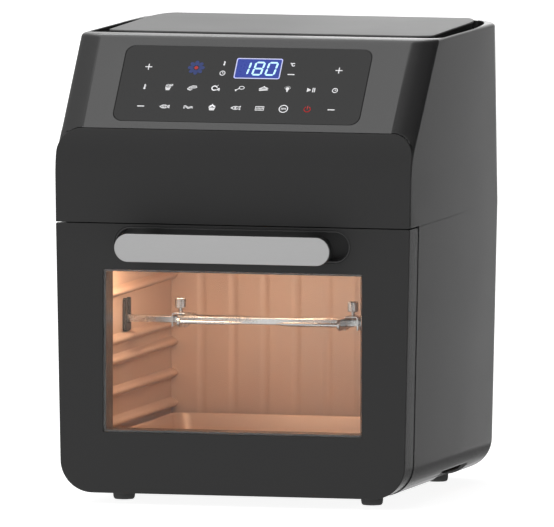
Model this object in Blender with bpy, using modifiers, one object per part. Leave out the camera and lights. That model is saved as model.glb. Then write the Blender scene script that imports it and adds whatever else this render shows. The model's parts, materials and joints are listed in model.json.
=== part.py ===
"""Countertop air fryer oven with a drop-down glass door and a rotisserie: the design model.

Metres, +Z up, the front faces -Y. The origin is on the surface that the feet stand on, under the
centre of the whole object's box. Run it with blender --background --python part.py.
"""

import math

import bmesh
import bpy
from mathutils import Matrix, Vector

# Driving dimensions of the body
WIDTH = 0.310                      # at the seam
BODY_DEPTH = 0.332                 # from the door's front plane to the rear wall
HANDLE_REACH = 0.036               # how far the handle stands proud of the door
REAR_REACH = 0.010                 # how far the exhaust cover stands proud of the rear wall
FOOT_HEIGHT = 0.0096
SEAM = 0.2398                      # height of the line between the door and the fascia
SEAM_GAP = 0.001
RIM_TOP = 0.395
COVER_TOP = 0.398
TAPER_DOWN = 0.0200                # how fast each side draws in below the seam
SPREAD_UP = 0.0140                 # how fast each side spreads above it
BOTTOM_RADIUS = 0.028              # rounding of the long bottom edges and of the door's lower corners
FRONT_RADIUS = 0.020               # rounding of the fascia's upper corners
CORNER_ACROSS = 0.0212             # how far a front corner's rounding reaches across the front
CORNER_BACK = ((0.240, 0.002), (0.288, 0.002), (0.320, 0.012), (0.395, 0.0155))
REAR_RADIUS = ((0.000, 0.026), (0.240, 0.024), (0.395, 0.045))
RIM_RADIUS = 0.005
BEND_START = 0.2784                # height where the fascia starts to lean back
BEND_RADIUS = 0.063
SLANT = math.radians(41.0)         # lean of the control face from the vertical
FASCIA_TOP = 0.3193
WALL = 0.003
GAP = 0.0003                       # play between pieces that meet
FRONT = -(HANDLE_REACH + BODY_DEPTH + REAR_REACH) / 2 + HANDLE_REACH
REAR = FRONT + BODY_DEPTH

# Door and hinge
PANEL = 0.003                      # thickness of the door's front panel and of the fascia
DOOR_THICK = 0.032
HOUSING_FRONT = 0.033              # depth at which the housing starts behind the door
WINDOW_HALF = 0.1133
WINDOW_LOW, WINDOW_HIGH = 0.0617, 0.2005
HANDLE_HALF, HANDLE_TALL, HANDLE_Z = 0.0945, 0.0245, 0.2220
POCKET_HALF, POCKET_TALL, POCKET_Z = 0.1032, 0.0275, 0.2235
HINGE_DEPTH, HINGE_Z = 0.013, 0.018
HINGE_X = 0.100
PIN_RADIUS = 0.002
CATCH_X, CATCH_Z = 0.1425, 0.200   # door switch on the right, magnetic catch on the left
REAR_HALF = 0.112                  # half-width of the opening behind the rear cover

# Cooking chamber
CAVITY_HALF = 0.125
CAVITY_FRONT, CAVITY_REAR = 0.0357, 0.274
CAVITY_LOW, CAVITY_HIGH = 0.038, 0.226
SHEET = 0.0012                     # thickness of the chamber's sheet metal
RIB_REACH, RIB_TALL = 0.006, 0.009
RIB_HEIGHTS = (0.063, 0.089, 0.116, 0.133, 0.174)
SPIT_DEPTH, SPIT_Z = 0.118, 0.149
SPIT_SIDE = 0.006
FAN_DEPTH = 0.154

# Control face, in its own plane: u to the right, v up the slope from its lower edge
GLASS_U, GLASS_HALF = -0.0034, 0.1090
GLASS_LOW, GLASS_HIGH = 0.0083, 0.0878
GLASS_THICK = 0.0012
DISPLAY_U, DISPLAY_V = 0.0090, 0.0659

# Top
COVER_HALF, COVER_FRONT, COVER_REAR = 0.1428, 0.1240, 0.3050
COVER_TILT = 0.0155                # rise of the lid per metre towards the rear
FRONT_ACROSS, FRONT_BACK = 0.035, 0.0065               # spans of the lid's front corners
REAR_ACROSS, REAR_BACK = 0.0105, 0.090                 # spans of its rear corners
TROUGH_HALF, TROUGH_FRONT, TROUGH_REAR = 0.1525, 0.1014, 0.3240
TROUGH_CORNER = 0.007
TROUGH_ACROSS, TROUGH_BACK = 0.028, 0.129              # spans of the opening's rear corners
SIDE_SLOT_X, SIDE_SLOT_HALF = 0.1468, 0.0017
ROOM_TOP = 0.3880                  # underside of the deck round the trough
TRAY_TOP = 0.3875
FOOT_X, FOOT_FRONT, FOOT_REAR = 0.109, 0.054, 0.2825

ARC_STEPS = 6


def collection(name):
    made = bpy.data.collections.new(name)
    bpy.context.scene.collection.children.link(made)
    return made


def material(name, colour, roughness, metallic=0.0, alpha=1.0):
    """Principled material with one colour, roughness and metallic value."""
    made = bpy.data.materials.new(name)
    made.use_nodes = True
    shader = made.node_tree.nodes["Principled BSDF"]
    shader.inputs["Base Color"].default_value = (*colour, 1.0)
    shader.inputs["Roughness"].default_value = roughness
    shader.inputs["Metallic"].default_value = metallic
    shader.inputs["Alpha"].default_value = alpha
    made.diffuse_color = (*colour, alpha)
    return made


# Shape helpers

def behind(depth):
    """Y of a point this far behind the door's front plane."""
    return FRONT + depth


def solid(name, mesh_builder, look=None):
    """Object made from a filled bmesh, which it frees."""
    bmesh.ops.recalc_face_normals(mesh_builder, faces=mesh_builder.faces)
    mesh = bpy.data.meshes.new(name)
    mesh_builder.to_mesh(mesh)
    mesh_builder.free()
    mesh.shade_smooth()
    mesh.set_sharp_from_angle(angle=math.radians(35))
    made = bpy.data.objects.new(name, mesh)
    PARTS.objects.link(made)
    if look:
        mesh.materials.append(look)
    return made


def box(name, low, high, look=None, bevel=0.0):
    """Block between two corners, with its edges rounded where bevel is given."""
    build = bmesh.new()
    bmesh.ops.create_cube(build, size=1.0)
    low, high = Vector(low), Vector(high)
    bmesh.ops.scale(build, vec=high - low, verts=build.verts)
    made = solid(name, build, look)
    made.location = (low + high) / 2
    if bevel:
        rounding = made.modifiers.new("rounding", "BEVEL")
        rounding.width = bevel
        rounding.segments = 2
    return made


def turn_to(axis):
    """Rotation that takes +Z to +X, +Y or +Z."""
    turns = {"X": Matrix.Rotation(math.radians(90), 4, "Y"), "Z": Matrix.Identity(4)}
    turns["Y"] = Matrix.Rotation(math.radians(-90), 4, "X")
    return turns[axis]


def cylinder(name, centre, radius, length, axis="Z", look=None, sides=24):
    build = bmesh.new()
    bmesh.ops.create_cone(
        build, cap_ends=True, segments=sides, radius1=radius, radius2=radius, depth=length
    )
    bmesh.ops.transform(build, matrix=turn_to(axis), verts=build.verts)
    made = solid(name, build, look)
    made.location = centre
    return made


def turned(name, profile, origin, axis, look, steps=24):
    """Turned solid: (radius, height) points down its outer side, closed through the axis or a bore."""
    mesh = bpy.data.meshes.new(name)
    edges = [(i, i + 1) for i in range(len(profile) - 1)]
    if profile[0][0] > 0:
        edges.append((len(profile) - 1, 0))
    mesh.from_pydata([(radius, 0, height) for radius, height in profile], edges, [])
    mesh.materials.append(look)
    made = bpy.data.objects.new(name, mesh)
    PARTS.objects.link(made)
    screw = made.modifiers.new("turn", "SCREW")
    screw.steps = steps
    screw.render_steps = steps
    screw.use_merge_vertices = True
    screw.merge_threshold = 0.00001
    screw.use_smooth_shade = False
    made.matrix_world = Matrix.Translation(origin) @ turn_to(axis)
    return made


def rounded(corners, steps=ARC_STEPS):
    """Outline through (u, v, radius) corners, each with its radius laid in as an arc."""
    points = []
    for index, (u, v, radius) in enumerate(corners):
        corner = Vector((u, v))
        if not radius:
            points.append((u, v))
            continue
        to_last = (Vector(corners[index - 1][:2]) - corner).normalized()
        to_next = (Vector(corners[(index + 1) % len(corners)][:2]) - corner).normalized()
        half = to_last.angle(to_next) / 2
        centre = corner + (to_last + to_next).normalized() * radius / math.sin(half)
        start = corner + to_last * radius / math.tan(half) - centre
        side = 1 if to_next.x * to_last.y - to_next.y * to_last.x > 0 else -1
        for step in range(steps + 1):
            swept = Matrix.Rotation(side * (math.pi - 2 * half) * step / steps, 2) @ start
            points.append(tuple(centre + swept))
    return points


def rectangle(u0, v0, u1, v1, radius=0.0):
    corners = [(u0, v0), (u1, v0), (u1, v1), (u0, v1)]
    return rounded([(u, v, radius) for u, v in corners])


def prism(name, outline, axis, start, end, look=None):
    """Straight bar of one section: (y, z) points along X, (x, z) along Y or (x, y) along Z."""
    places = {
        "X": lambda u, v, w: (w, u, v),
        "Y": lambda u, v, w: (u, w, v),
        "Z": lambda u, v, w: (u, v, w),
    }
    place = places[axis]
    build = bmesh.new()
    face = build.faces.new([build.verts.new(place(u, v, start)) for u, v in outline])
    grown = bmesh.ops.extrude_face_region(build, geom=[face])["geom"]
    moved = [item for item in grown if isinstance(item, bmesh.types.BMVert)]
    bmesh.ops.translate(build, vec=place(0, 0, end - start), verts=moved)
    return solid(name, build, look)


def loft(name, sections, look=None):
    """Closed skin through outlines that have the same number of points."""
    build = bmesh.new()
    rings = [[build.verts.new(point) for point in section] for section in sections]
    for lower, upper in zip(rings, rings[1:]):
        for index in range(len(lower)):
            after = (index + 1) % len(lower)
            build.faces.new((lower[index], lower[after], upper[after], upper[index]))
    build.faces.new(rings[0])
    build.faces.new(rings[-1])
    return solid(name, build, look)


def rod(name, points, radius, look):
    """Round wire through the points, with filled ends."""
    curve = bpy.data.curves.new(name, "CURVE")
    curve.dimensions = "3D"
    curve.bevel_depth = radius
    curve.bevel_resolution = 2
    curve.use_fill_caps = True
    spline = curve.splines.new("POLY")
    spline.points.add(len(points) - 1)
    for slot, point in zip(spline.points, points):
        slot.co = (*point, 1.0)
    curve.materials.append(look)
    made = bpy.data.objects.new(name, curve)
    PARTS.objects.link(made)
    return made


def combine(target, tool, operation="DIFFERENCE"):
    """Boolean on target with a helper, which moves to the cutters' collection."""
    PARTS.objects.unlink(tool)
    CUTTERS.objects.link(tool)
    tool.hide_render = True
    tool.display_type = "WIRE"
    change = target.modifiers.new(tool.name, "BOOLEAN")
    change.operation = operation
    change.object = tool
    return target


def joined(name, pieces):
    """One helper mesh of several separate shapes."""
    build = bmesh.new()
    for piece in pieces:
        mesh = piece.data
        mesh.transform(piece.matrix_basis)
        build.from_mesh(mesh)
        bpy.data.objects.remove(piece)
        bpy.data.meshes.remove(mesh)
    return solid(name, build)


def ring_plate(name, outer, inner, axis, start, end, look):
    """Flat frame: one prism with another cut out of it."""
    made = prism(name, outer, axis, start, end, look)
    return combine(made, prism(name + "_opening", inner, axis, start - WALL, end + WALL))


# Shape of the body

def half_width(z):
    """Half of the body's width at a height."""
    if z < SEAM:
        return WIDTH / 2 - TAPER_DOWN * (SEAM - z)
    return WIDTH / 2 + SPREAD_UP * (z - SEAM)


def at_height(table, z):
    """Value at a height, between the (height, value) pairs of a table."""
    for (low, first), (high, last) in zip(table, table[1:]):
        if z < high:
            return first + (last - first) * max(0.0, z - low) / (high - low)
    return table[-1][1]


def lean(z):
    """How far the front surface lies behind the front plane at a height."""
    rise = z - BEND_START
    bend_rise = BEND_RADIUS * math.sin(SLANT)
    if rise <= 0:
        return 0.0
    if rise < bend_rise:
        return BEND_RADIUS * (1 - math.cos(math.asin(rise / BEND_RADIUS)))
    return BEND_RADIUS * (1 - math.cos(SLANT)) + (rise - bend_rise) * math.tan(SLANT)


FACE_LOW = BEND_START + BEND_RADIUS * math.sin(SLANT)
FACE_FRAME = Matrix.Translation((0, behind(lean(FACE_LOW)), FACE_LOW)) @ Matrix.Rotation(
    math.radians(90) - SLANT, 4, "X"
)


def arc_loss(reach, radius):
    """How much a rounding of this radius has taken off, reach before its end."""
    short = max(0.0, radius - reach)
    return radius - math.sqrt(max(0.0, radius * radius - short * short))


def plan(z, half, front, rear, across, back, rear_across, rear_back=None):
    """Plan outline at one height, its corners rounded by quarter ellipses or, at the rear, by circles."""
    rear_back = rear_across if rear_back is None else rear_back
    turns = [math.radians(90) * step / ARC_STEPS for step in range(ARC_STEPS + 1)]
    near, far = [], []
    for turn in turns:
        out, along = 1 - math.cos(turn), 1 - math.sin(turn)
        near.append((half - across * out, front + back * along))
        far.append((half - rear_across * out, rear - rear_back * along))
    outline = [(-x, y) for x, y in near] + near[::-1] + far + [(-x, y) for x, y in far[::-1]]
    return [(x, y, z) for x, y in outline]


def body_section(z):
    """Outer plan outline of the housing at one height."""
    bottom_loss = arc_loss(z - FOOT_HEIGHT, BOTTOM_RADIUS)
    rim_loss = arc_loss(RIM_TOP - z, RIM_RADIUS)
    half = half_width(z) - bottom_loss - rim_loss
    front = behind(lean(z)) + rim_loss
    back, rear_radius = at_height(CORNER_BACK, z), at_height(REAR_RADIUS, z)
    return plan(z, half, front, REAR - rim_loss, CORNER_ACROSS, back, rear_radius)


def arc_heights(start, length, steps):
    """Heights along a quarter round, closest together at its steep start."""
    turns = [math.radians(90) * step / steps for step in range(steps + 1)]
    return [start + length * (1 - math.cos(turn)) for turn in turns]


def body_heights():
    heights = arc_heights(FOOT_HEIGHT, BOTTOM_RADIUS, 5) + [SEAM, BEND_START]
    bends = [SLANT * step / 4 for step in range(1, 5)]
    heights += [BEND_START + BEND_RADIUS * math.sin(bend) for bend in bends]
    rim_angles = (0, 30, 60, 90)
    heights += [RIM_TOP - RIM_RADIUS * (1 - math.sin(math.radians(a))) for a in rim_angles]
    return heights


def front_outline(low, high, low_radius, high_radius, inset=0.0):
    """Front-view outline of the door or the fascia."""
    low, high = low + inset, high - inset
    low_half, high_half = half_width(low) - inset, half_width(high) - inset
    corners = [(-low_half, low, low_radius), (low_half, low, low_radius)]
    corners += [(high_half, high, high_radius), (-high_half, high, high_radius)]
    return rounded(corners)


def front_curve(low, high, offset):
    """Side-view points up the front surface, this far inside it, as (y, z)."""
    points = [(behind(offset), low), (behind(offset), BEND_START)]
    for step in range(1, ARC_STEPS + 1):
        bend = SLANT * step / ARC_STEPS
        radius = BEND_RADIUS - offset
        y = behind(BEND_RADIUS - radius * math.cos(bend))
        points.append((y, BEND_START + radius * math.sin(bend)))
    y, z = points[-1]
    points.append((y + (high - z) * math.tan(SLANT), high))
    return points


def fascia_band(name, near, far, outline_inset, look=None):
    """The layer of the fascia's shape between two depths under the front surface."""
    low, high = SEAM - WALL, FASCIA_TOP + 3 * WALL
    section = front_curve(low, high, near) + front_curve(low, high, far)[::-1]
    made = prism(name, section, "X", -WIDTH, WIDTH, look)
    outline = front_outline(SEAM + SEAM_GAP / 2, FASCIA_TOP, 0.0, FRONT_RADIUS, outline_inset)
    mask = prism(name + "_outline", outline, "Y", FRONT - WALL, behind(2 * DOOR_THICK))
    return combine(made, mask, "INTERSECT")


# Casing

def outer_housing():
    """Moulded shell: rounded body, shoulder behind the fascia, and every opening through it."""
    shell = loft("outer_housing", [body_section(z) for z in body_heights()], BLACK_GLOSS)
    shoulder_low = SEAM + SEAM_GAP / 2
    shoulder = front_curve(shoulder_low, FASCIA_TOP, PANEL + GAP)[:-1]
    shoulder += [(behind(DOOR_THICK), FASCIA_TOP - WALL), (behind(DOOR_THICK), shoulder_low)]
    step = 0.00005
    block = prism("shoulder", shoulder, "X", -WIDTH, WIDTH)
    outline = front_outline(shoulder_low, FASCIA_TOP, 0.0, FRONT_RADIUS, step)
    combine(block, prism("shoulder_outline", outline, "Y", FRONT, behind(2 * DOOR_THICK)), "INTERSECT")
    combine(shell, block, "UNION")
    combine(shell, fascia_band("fascia_recess", -WALL, PANEL + GAP, -GAP))
    door_room = box(
        "door_room", (-WIDTH, FRONT - WALL, 0), (WIDTH, behind(HOUSING_FRONT), SEAM + SEAM_GAP / 2)
    )
    combine(shell, door_room)
    combine(shell, upper_room())
    combine(shell, lower_room())
    combine(shell, loft("trough", [trough_section(ROOM_TOP - 3 * WALL, 0.0), trough_section(COVER_TOP, 0.0)]))
    mouth = rectangle(-0.134, 0.027, 0.134, 0.234, 0.006)
    combine(shell, prism("mouth", mouth, "Y", behind(0.030), behind(0.040)))
    floor_opening = box("floor_opening", (-0.1175, behind(0.048), 0), (0.1175, behind(0.3165), 0.014))
    combine(shell, floor_opening)
    rear_opening = rectangle(-REAR_HALF, 0.030, REAR_HALF, 0.372, 0.010)
    combine(shell, prism("rear_opening", rear_opening, "Y", REAR - 2 * WALL, REAR + WALL))
    combine(shell, face_prism("glass_seat", GLASS_HALF + GAP, GLASS_LOW - GAP, GLASS_HIGH + GAP,
                              -GLASS_THICK - GAP, WALL, 0.009))
    edge = 2 * WALL
    combine(shell, face_prism("board_window", GLASS_HALF - edge, GLASS_LOW + edge,
                              GLASS_HIGH - edge, -4 * WALL, WALL, 0.004))
    grips, arms = [], []
    for side in (-1, 1):
        grip_x, arm_x = side * 0.144, side * HINGE_X
        grips.append(box("grip", (grip_x - 0.018, behind(0.152), 0), (grip_x + 0.018, behind(0.242), 0.0205)))
        arms.append(box("arm", (arm_x - 0.0063, behind(0.030), 0), (arm_x + 0.0063, behind(0.049), 0.0252)))
    combine(shell, joined("grip_notches", grips))
    combine(shell, joined("arm_slots", arms))
    catch = box("catch_hole", (-CATCH_X - 0.0053, behind(0.030), CATCH_Z - 0.0083),
                (-CATCH_X + 0.0053, behind(0.040), CATCH_Z + 0.0083))
    plunger = cylinder("plunger_hole", (CATCH_X, behind(0.035), CATCH_Z), 0.0026, 0.010, "Y")
    return combine(shell, joined("door_fittings", [catch, plunger]))


def trough_section(z, spread):
    """Plan outline of the opening in the deck, or of a plate that reaches past it by spread."""
    front, rear = behind(TROUGH_FRONT) - spread, behind(TROUGH_REAR) + spread
    half, corner = TROUGH_HALF + spread, TROUGH_CORNER
    return plan(z, half, front, rear, corner, corner, TROUGH_ACROSS, TROUGH_BACK)


def room_section(z, inset, front):
    """Plan outline of a hollow inside the housing, this far inside its skin."""
    back = max(0.002, at_height(CORNER_BACK, z) - inset)
    half, rear_radius = half_width(z) - inset, at_height(REAR_RADIUS, z) - inset
    return plan(z, half, front, REAR - inset, CORNER_ACROSS - inset, back, rear_radius)


def upper_room():
    """The hollow above the seam, up to the deck round the trough."""
    slab, skin = 0.0066, 0.0038
    levels = [(SEAM + WALL, slab), (BEND_START, slab), (FASCIA_TOP, slab), (FASCIA_TOP + 0.010, skin),
              (ROOM_TOP, skin)]
    return loft("upper_room", [room_section(z, WALL, behind(lean(z)) + front) for z, front in levels])


def lower_room():
    """The hollow behind the door's opening, reaching up into the electronics space."""
    sections = []
    skin = WALL + GAP
    low = FOOT_HEIGHT + skin
    radius = BOTTOM_RADIUS - skin
    front = behind(HOUSING_FRONT) + WALL
    for z in arc_heights(low, radius, 4) + [SEAM, SEAM + 3 * WALL]:
        half = half_width(z) - skin - arc_loss(z - low, radius)
        rear_radius = at_height(REAR_RADIUS, z) - skin
        sections.append(plan(z, half, front, REAR - skin, WALL, WALL, rear_radius))
    return loft("lower_room", sections)


def face_prism(name, half, low, high, bottom, top, radius, look=None):
    """Rounded plate in the control face's own plane, centred on the touch glass."""
    outline = rectangle(GLASS_U - half, low, GLASS_U + half, high, radius)
    made = prism(name, outline, "Z", bottom, top, look)
    made.matrix_world = FACE_FRAME
    return made


def front_fascia():
    return fascia_band("front_fascia", 0.0, PANEL, 0.0, BLACK_SATIN)


def control_panel():
    """Touch glass in its seat, with the circuit board and the display behind it."""
    face_prism("touch_glass", GLASS_HALF, GLASS_LOW, GLASS_HIGH, -GLASS_THICK, 0.0, 0.009, DARK_GLASS)
    board = -GLASS_THICK - 2 * WALL
    face_prism("control_board", GLASS_HALF - 0.008, GLASS_LOW + 0.008, GLASS_HIGH - 0.008,
               board - 0.0016, board, 0.002, CIRCUIT)
    outline = rectangle(DISPLAY_U - 0.020, DISPLAY_V - 0.0105, DISPLAY_U + 0.020, DISPLAY_V + 0.0105, 0.001)
    display = prism("display_module", outline, "Z", board + GAP, -GLASS_THICK - GAP, DISPLAY_BLUE)
    display.matrix_world = FACE_FRAME


def cover_section(z, inset, tilt=0.0):
    """Plan outline of the lid at one height, which a tilted one has at its rear end."""
    front, rear = behind(COVER_FRONT) + inset, behind(COVER_REAR) - inset
    outline = plan(z, COVER_HALF - inset, front, rear, FRONT_ACROSS, FRONT_BACK, REAR_ACROSS, REAR_BACK)
    return [(x, y, level + tilt * (y - behind(COVER_REAR))) for x, y, level in outline]


def top_cover():
    """Hollow lid standing on the vent tray, rising a little to the rear, with a soft edge round its top."""
    edge, skin = 0.0012, 0.0025
    levels = [(TRAY_TOP + GAP, 0.0, 0.0), (COVER_TOP - edge, 0.0, COVER_TILT),
              (COVER_TOP - edge / 3, edge / 4, COVER_TILT), (COVER_TOP, edge, COVER_TILT)]
    lid = loft("top_cover", [cover_section(*level) for level in levels], GREY_COVER)
    hollow = [cover_section(TRAY_TOP - GAP, skin), cover_section(COVER_TOP - skin, skin + edge, COVER_TILT)]
    combine(lid, loft("lid_hollow", hollow))


def top_vent_tray():
    """Floor of the trough round the lid, held under the deck, slotted on both sides and at the back."""
    thick, flange = 0.0025, 0.0015
    tray = loft("top_vent_tray", [trough_section(z, flange) for z in (TRAY_TOP - thick, TRAY_TOP)],
                BLACK_MATTE)
    slots = []
    low, high = TRAY_TOP - 2 * thick, TRAY_TOP + thick
    for side in (-1, 1):
        for row in range(8):
            x, y = side * SIDE_SLOT_X, behind(0.148 + 0.016 * row)
            slots.append(box("slot", (x - SIDE_SLOT_HALF, y, low), (x + SIDE_SLOT_HALF, y + 0.010, high)))
    for column in range(9):
        x = 0.022 * (column - 4)
        slots.append(box("slot", (x - 0.007, behind(0.3135), low), (x + 0.007, behind(0.3205), high)))
    combine(tray, joined("tray_slots", slots))


def rear_parts():
    """Rear cover with its air slots, the exhaust outlet on it and the cord's gland."""
    outline = rectangle(-REAR_HALF + GAP, 0.0303, REAR_HALF - GAP, 0.3717, 0.0097)
    cover = prism("rear_cover", outline, "Y", REAR - 0.0024, REAR, BLACK_MATTE)
    near, far = REAR - 0.01, REAR + 0.01
    slots = [box("outlet", (-0.045, near, 0.262), (0.045, far, 0.318))]
    for middle in (-0.055, 0.055):
        for z in (0.090, 0.102, 0.114, 0.126, 0.138):
            slots.append(box("slot", (middle - 0.030, near, z), (middle + 0.030, far, z + 0.004)))
    combine(cover, joined("rear_slots", slots))
    combine(cover, cylinder("gland_hole", (0.085, REAR, 0.055), 0.0083, 0.02, "Y"))
    outlet = prism("exhaust_cover", rectangle(-0.060, 0.250, 0.060, 0.330, 0.012), "Y",
                   REAR + GAP, REAR + REAR_REACH, BLACK_MATTE)
    louvres = [
        box("louvre", (-0.042, REAR - 0.01, z), (0.042, REAR + 0.03, z + 0.006))
        for z in (0.263, 0.275, 0.287, 0.299, 0.311)
    ]
    combine(outlet, joined("louvres", louvres))
    profile = [(0.0035, 0.0075), (0.0060, 0.0075), (0.0080, 0.0010), (0.0080, -0.012),
               (0.0035, -0.012)]
    turned("cord_gland", profile, (0.085, REAR, 0.055), "Y", RUBBER)


def base_plate():
    """Floor panel of the housing, with intake slots."""
    plate = box("base_plate", (-0.1172, behind(0.0495), FOOT_HEIGHT + GAP),
                (0.1172, behind(0.3162), FOOT_HEIGHT + 0.0026), BLACK_MATTE)
    slots = [
        box("slot", (x - 0.002, behind(0.160), 0), (x + 0.002, behind(0.230), 0.02))
        for x in (-0.050, -0.030, -0.010, 0.010, 0.030, 0.050)
    ]
    combine(plate, joined("base_slots", slots))


def feet():
    """Four turned feet, each a rubber puck with a soft lower edge."""
    top = FOOT_HEIGHT - GAP
    profile = [(0.0, top), (0.0095, top), (0.0090, 0.0012), (0.0078, 0.0), (0.0, 0.0)]
    places = {
        "foot_front_left": (-FOOT_X, FOOT_FRONT), "foot_front_right": (FOOT_X, FOOT_FRONT),
        "foot_rear_left": (-FOOT_X, FOOT_REAR), "foot_rear_right": (FOOT_X, FOOT_REAR),
    }
    for name, (x, depth) in places.items():
        turned(name, profile, (x, behind(depth), 0), "Z", RUBBER)


# Cooking chamber

def ribbed_outline():
    """Section of the left wall as (x, z): a thin sheet with rack ledges pressed into it."""
    inner = -CAVITY_HALF
    low, high = CAVITY_LOW + GAP, CAVITY_HIGH - GAP
    points = [(inner - SHEET, low), (inner, low)]
    for height in RIB_HEIGHTS:
        points += [
            (inner, height - RIB_TALL / 2),
            (inner + RIB_REACH, height - RIB_TALL / 4),
            (inner + RIB_REACH, height + RIB_TALL / 3),
            (inner, height + RIB_TALL / 2),
        ]
    points += [(inner, high), (inner - SHEET, high)]
    for height in reversed(RIB_HEIGHTS):
        hollow = RIB_REACH - SHEET
        points += [
            (inner - SHEET, height + RIB_TALL / 4),
            (inner - SHEET + hollow, height + RIB_TALL / 8),
            (inner - SHEET + hollow, height - RIB_TALL / 8),
            (inner - SHEET, height - RIB_TALL / 4),
        ]
    return points


def chamber():
    """The five sheet-metal walls of the cooking chamber and the frame round its mouth."""
    front, rear = behind(CAVITY_FRONT), behind(CAVITY_REAR)
    prism("cavity_left_wall", ribbed_outline(), "Y", front, rear, WARM_STEEL)
    mirrored = [(-x, z) for x, z in ribbed_outline()]
    right = prism("cavity_right_wall", mirrored, "Y", front, rear, WARM_STEEL)
    combine(right, cylinder("socket_hole", (CAVITY_HALF, behind(SPIT_DEPTH), SPIT_Z), 0.0125, 0.04, "X"))
    outer = CAVITY_HALF + SHEET
    box("cavity_rear_wall", (-outer, rear + GAP, CAVITY_LOW + GAP),
        (outer, rear + GAP + SHEET, CAVITY_HIGH - GAP), WARM_STEEL)
    box("cavity_floor", (-outer, front, CAVITY_LOW - SHEET), (outer, rear + GAP + SHEET, CAVITY_LOW),
        WARM_STEEL)
    ceiling = box("cavity_ceiling", (-outer, front, CAVITY_HIGH),
                  (outer, rear + GAP + SHEET, CAVITY_HIGH + SHEET), WARM_STEEL)
    holes = [
        cylinder("fan_mouth", (0, behind(FAN_DEPTH), CAVITY_HIGH), 0.075, 0.02, sides=32),
        cylinder("lamp_hole", (0.108, behind(0.080), CAVITY_HIGH), 0.012, 0.02),
        cylinder("sensor_hole", (-0.108, behind(0.220), CAVITY_HIGH), 0.0032, 0.02),
    ]
    combine(ceiling, joined("ceiling_holes", holes))
    ring_plate("front_frame", rectangle(-0.1337, 0.0273, 0.1337, 0.2337, 0.0057),
               rectangle(-CAVITY_HALF, CAVITY_LOW, CAVITY_HALF, CAVITY_HIGH, 0.004), "Y",
               behind(0.0342), behind(0.0354), WARM_STEEL)
    ring_plate("door_seal", rectangle(-0.1325, 0.0300, 0.1325, 0.2330, 0.008),
               rectangle(-0.1270, 0.0355, 0.1270, 0.2275, 0.004), "Y",
               behind(0.0323), behind(0.0339), RUBBER)


def drip_tray():
    """Shallow pan lying on the chamber's floor."""
    low, high = CAVITY_LOW + GAP, 0.0555
    side, wall = 0.121, 0.0012
    front, rear = behind(0.040), behind(0.268)
    corner, flare = 0.012, 0.004

    def pan_section(z, inset):
        near, far, radius = front + inset, rear - inset, corner - inset / 2
        return plan(z, side - inset, near, far, radius, radius, radius)

    tray = loft("drip_tray", [pan_section(low, flare), pan_section(high, 0.0)], WARM_STEEL)
    hollow = [pan_section(low + wall, flare + wall), pan_section(high + wall, wall)]
    combine(tray, loft("tray_hollow", hollow))


def air_heater():
    """Fan chamber over the ceiling, the coiled element under the fan and its slotted guard."""
    y = behind(FAN_DEPTH)
    low, high, half, sheet = CAVITY_HIGH + SHEET + GAP, 0.258, 0.088, 0.0012
    pan = box("fan_chamber", (-half, y - half, low), (half, y + half, high), BRIGHT_STEEL)
    inner = half - sheet
    combine(pan, box("chamber_hollow", (-inner, y - inner, low - sheet), (inner, y + inner, high - sheet)))
    bores = [cylinder("bore", (0, y, high), 0.0050, 0.01)]
    bores += [cylinder("bore", (x, y - 0.064, high), 0.0042, 0.01) for x in (-0.012, 0.012)]
    combine(pan, joined("chamber_bores", bores))
    heating_element(y)
    fan_guard(y)


def heating_element(y):
    """One round tube: down through the chamber's roof, round in a ring and up again."""
    radius, height, top, tube = 0.064, 0.217, 0.270, 0.003
    open_angle = math.asin(0.012 / radius)
    steps = 30
    start, sweep = -math.pi / 2 + open_angle, 2 * math.pi - 2 * open_angle
    ring = []
    for step in range(steps + 1):
        angle = start + sweep * step / steps
        ring.append((radius * math.cos(angle), y + radius * math.sin(angle), height))
    points = [(*ring[0][:2], top), (*ring[0][:2], height + 0.003)] + ring[1:-1]
    points += [(*ring[-1][:2], height + 0.003), (*ring[-1][:2], top)]
    rod("heating_element", points, tube, BRIGHT_STEEL)


def fan_guard(y):
    """Slotted plate under the element, hung from the ceiling by four posts."""
    half, level, thick = 0.088, 0.2065, 0.0012
    guard = box("fan_guard", (-half, y - half, level), (half, y + half, level + thick), WARM_STEEL)
    posts, slots = [], []
    post_high, corner = CAVITY_HIGH - GAP, 0.080
    for x in (-corner, corner):
        for depth in (-corner, corner):
            centre = (x, y + depth, (level + post_high) / 2)
            posts.append(cylinder("post", centre, 0.003, post_high - level, sides=12))
    combine(guard, joined("guard_posts", posts), "UNION")
    low, high = level - 0.01, level + 0.01
    for row in range(-5, 6):
        reach = 0.068 * math.sqrt(1 - (row / 6) ** 2)
        middle = y + row * 0.0125
        slots.append(box("slot", (-reach, middle - 0.0035, low), (reach, middle + 0.0035, high)))
    combine(guard, joined("guard_slots", slots))


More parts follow.
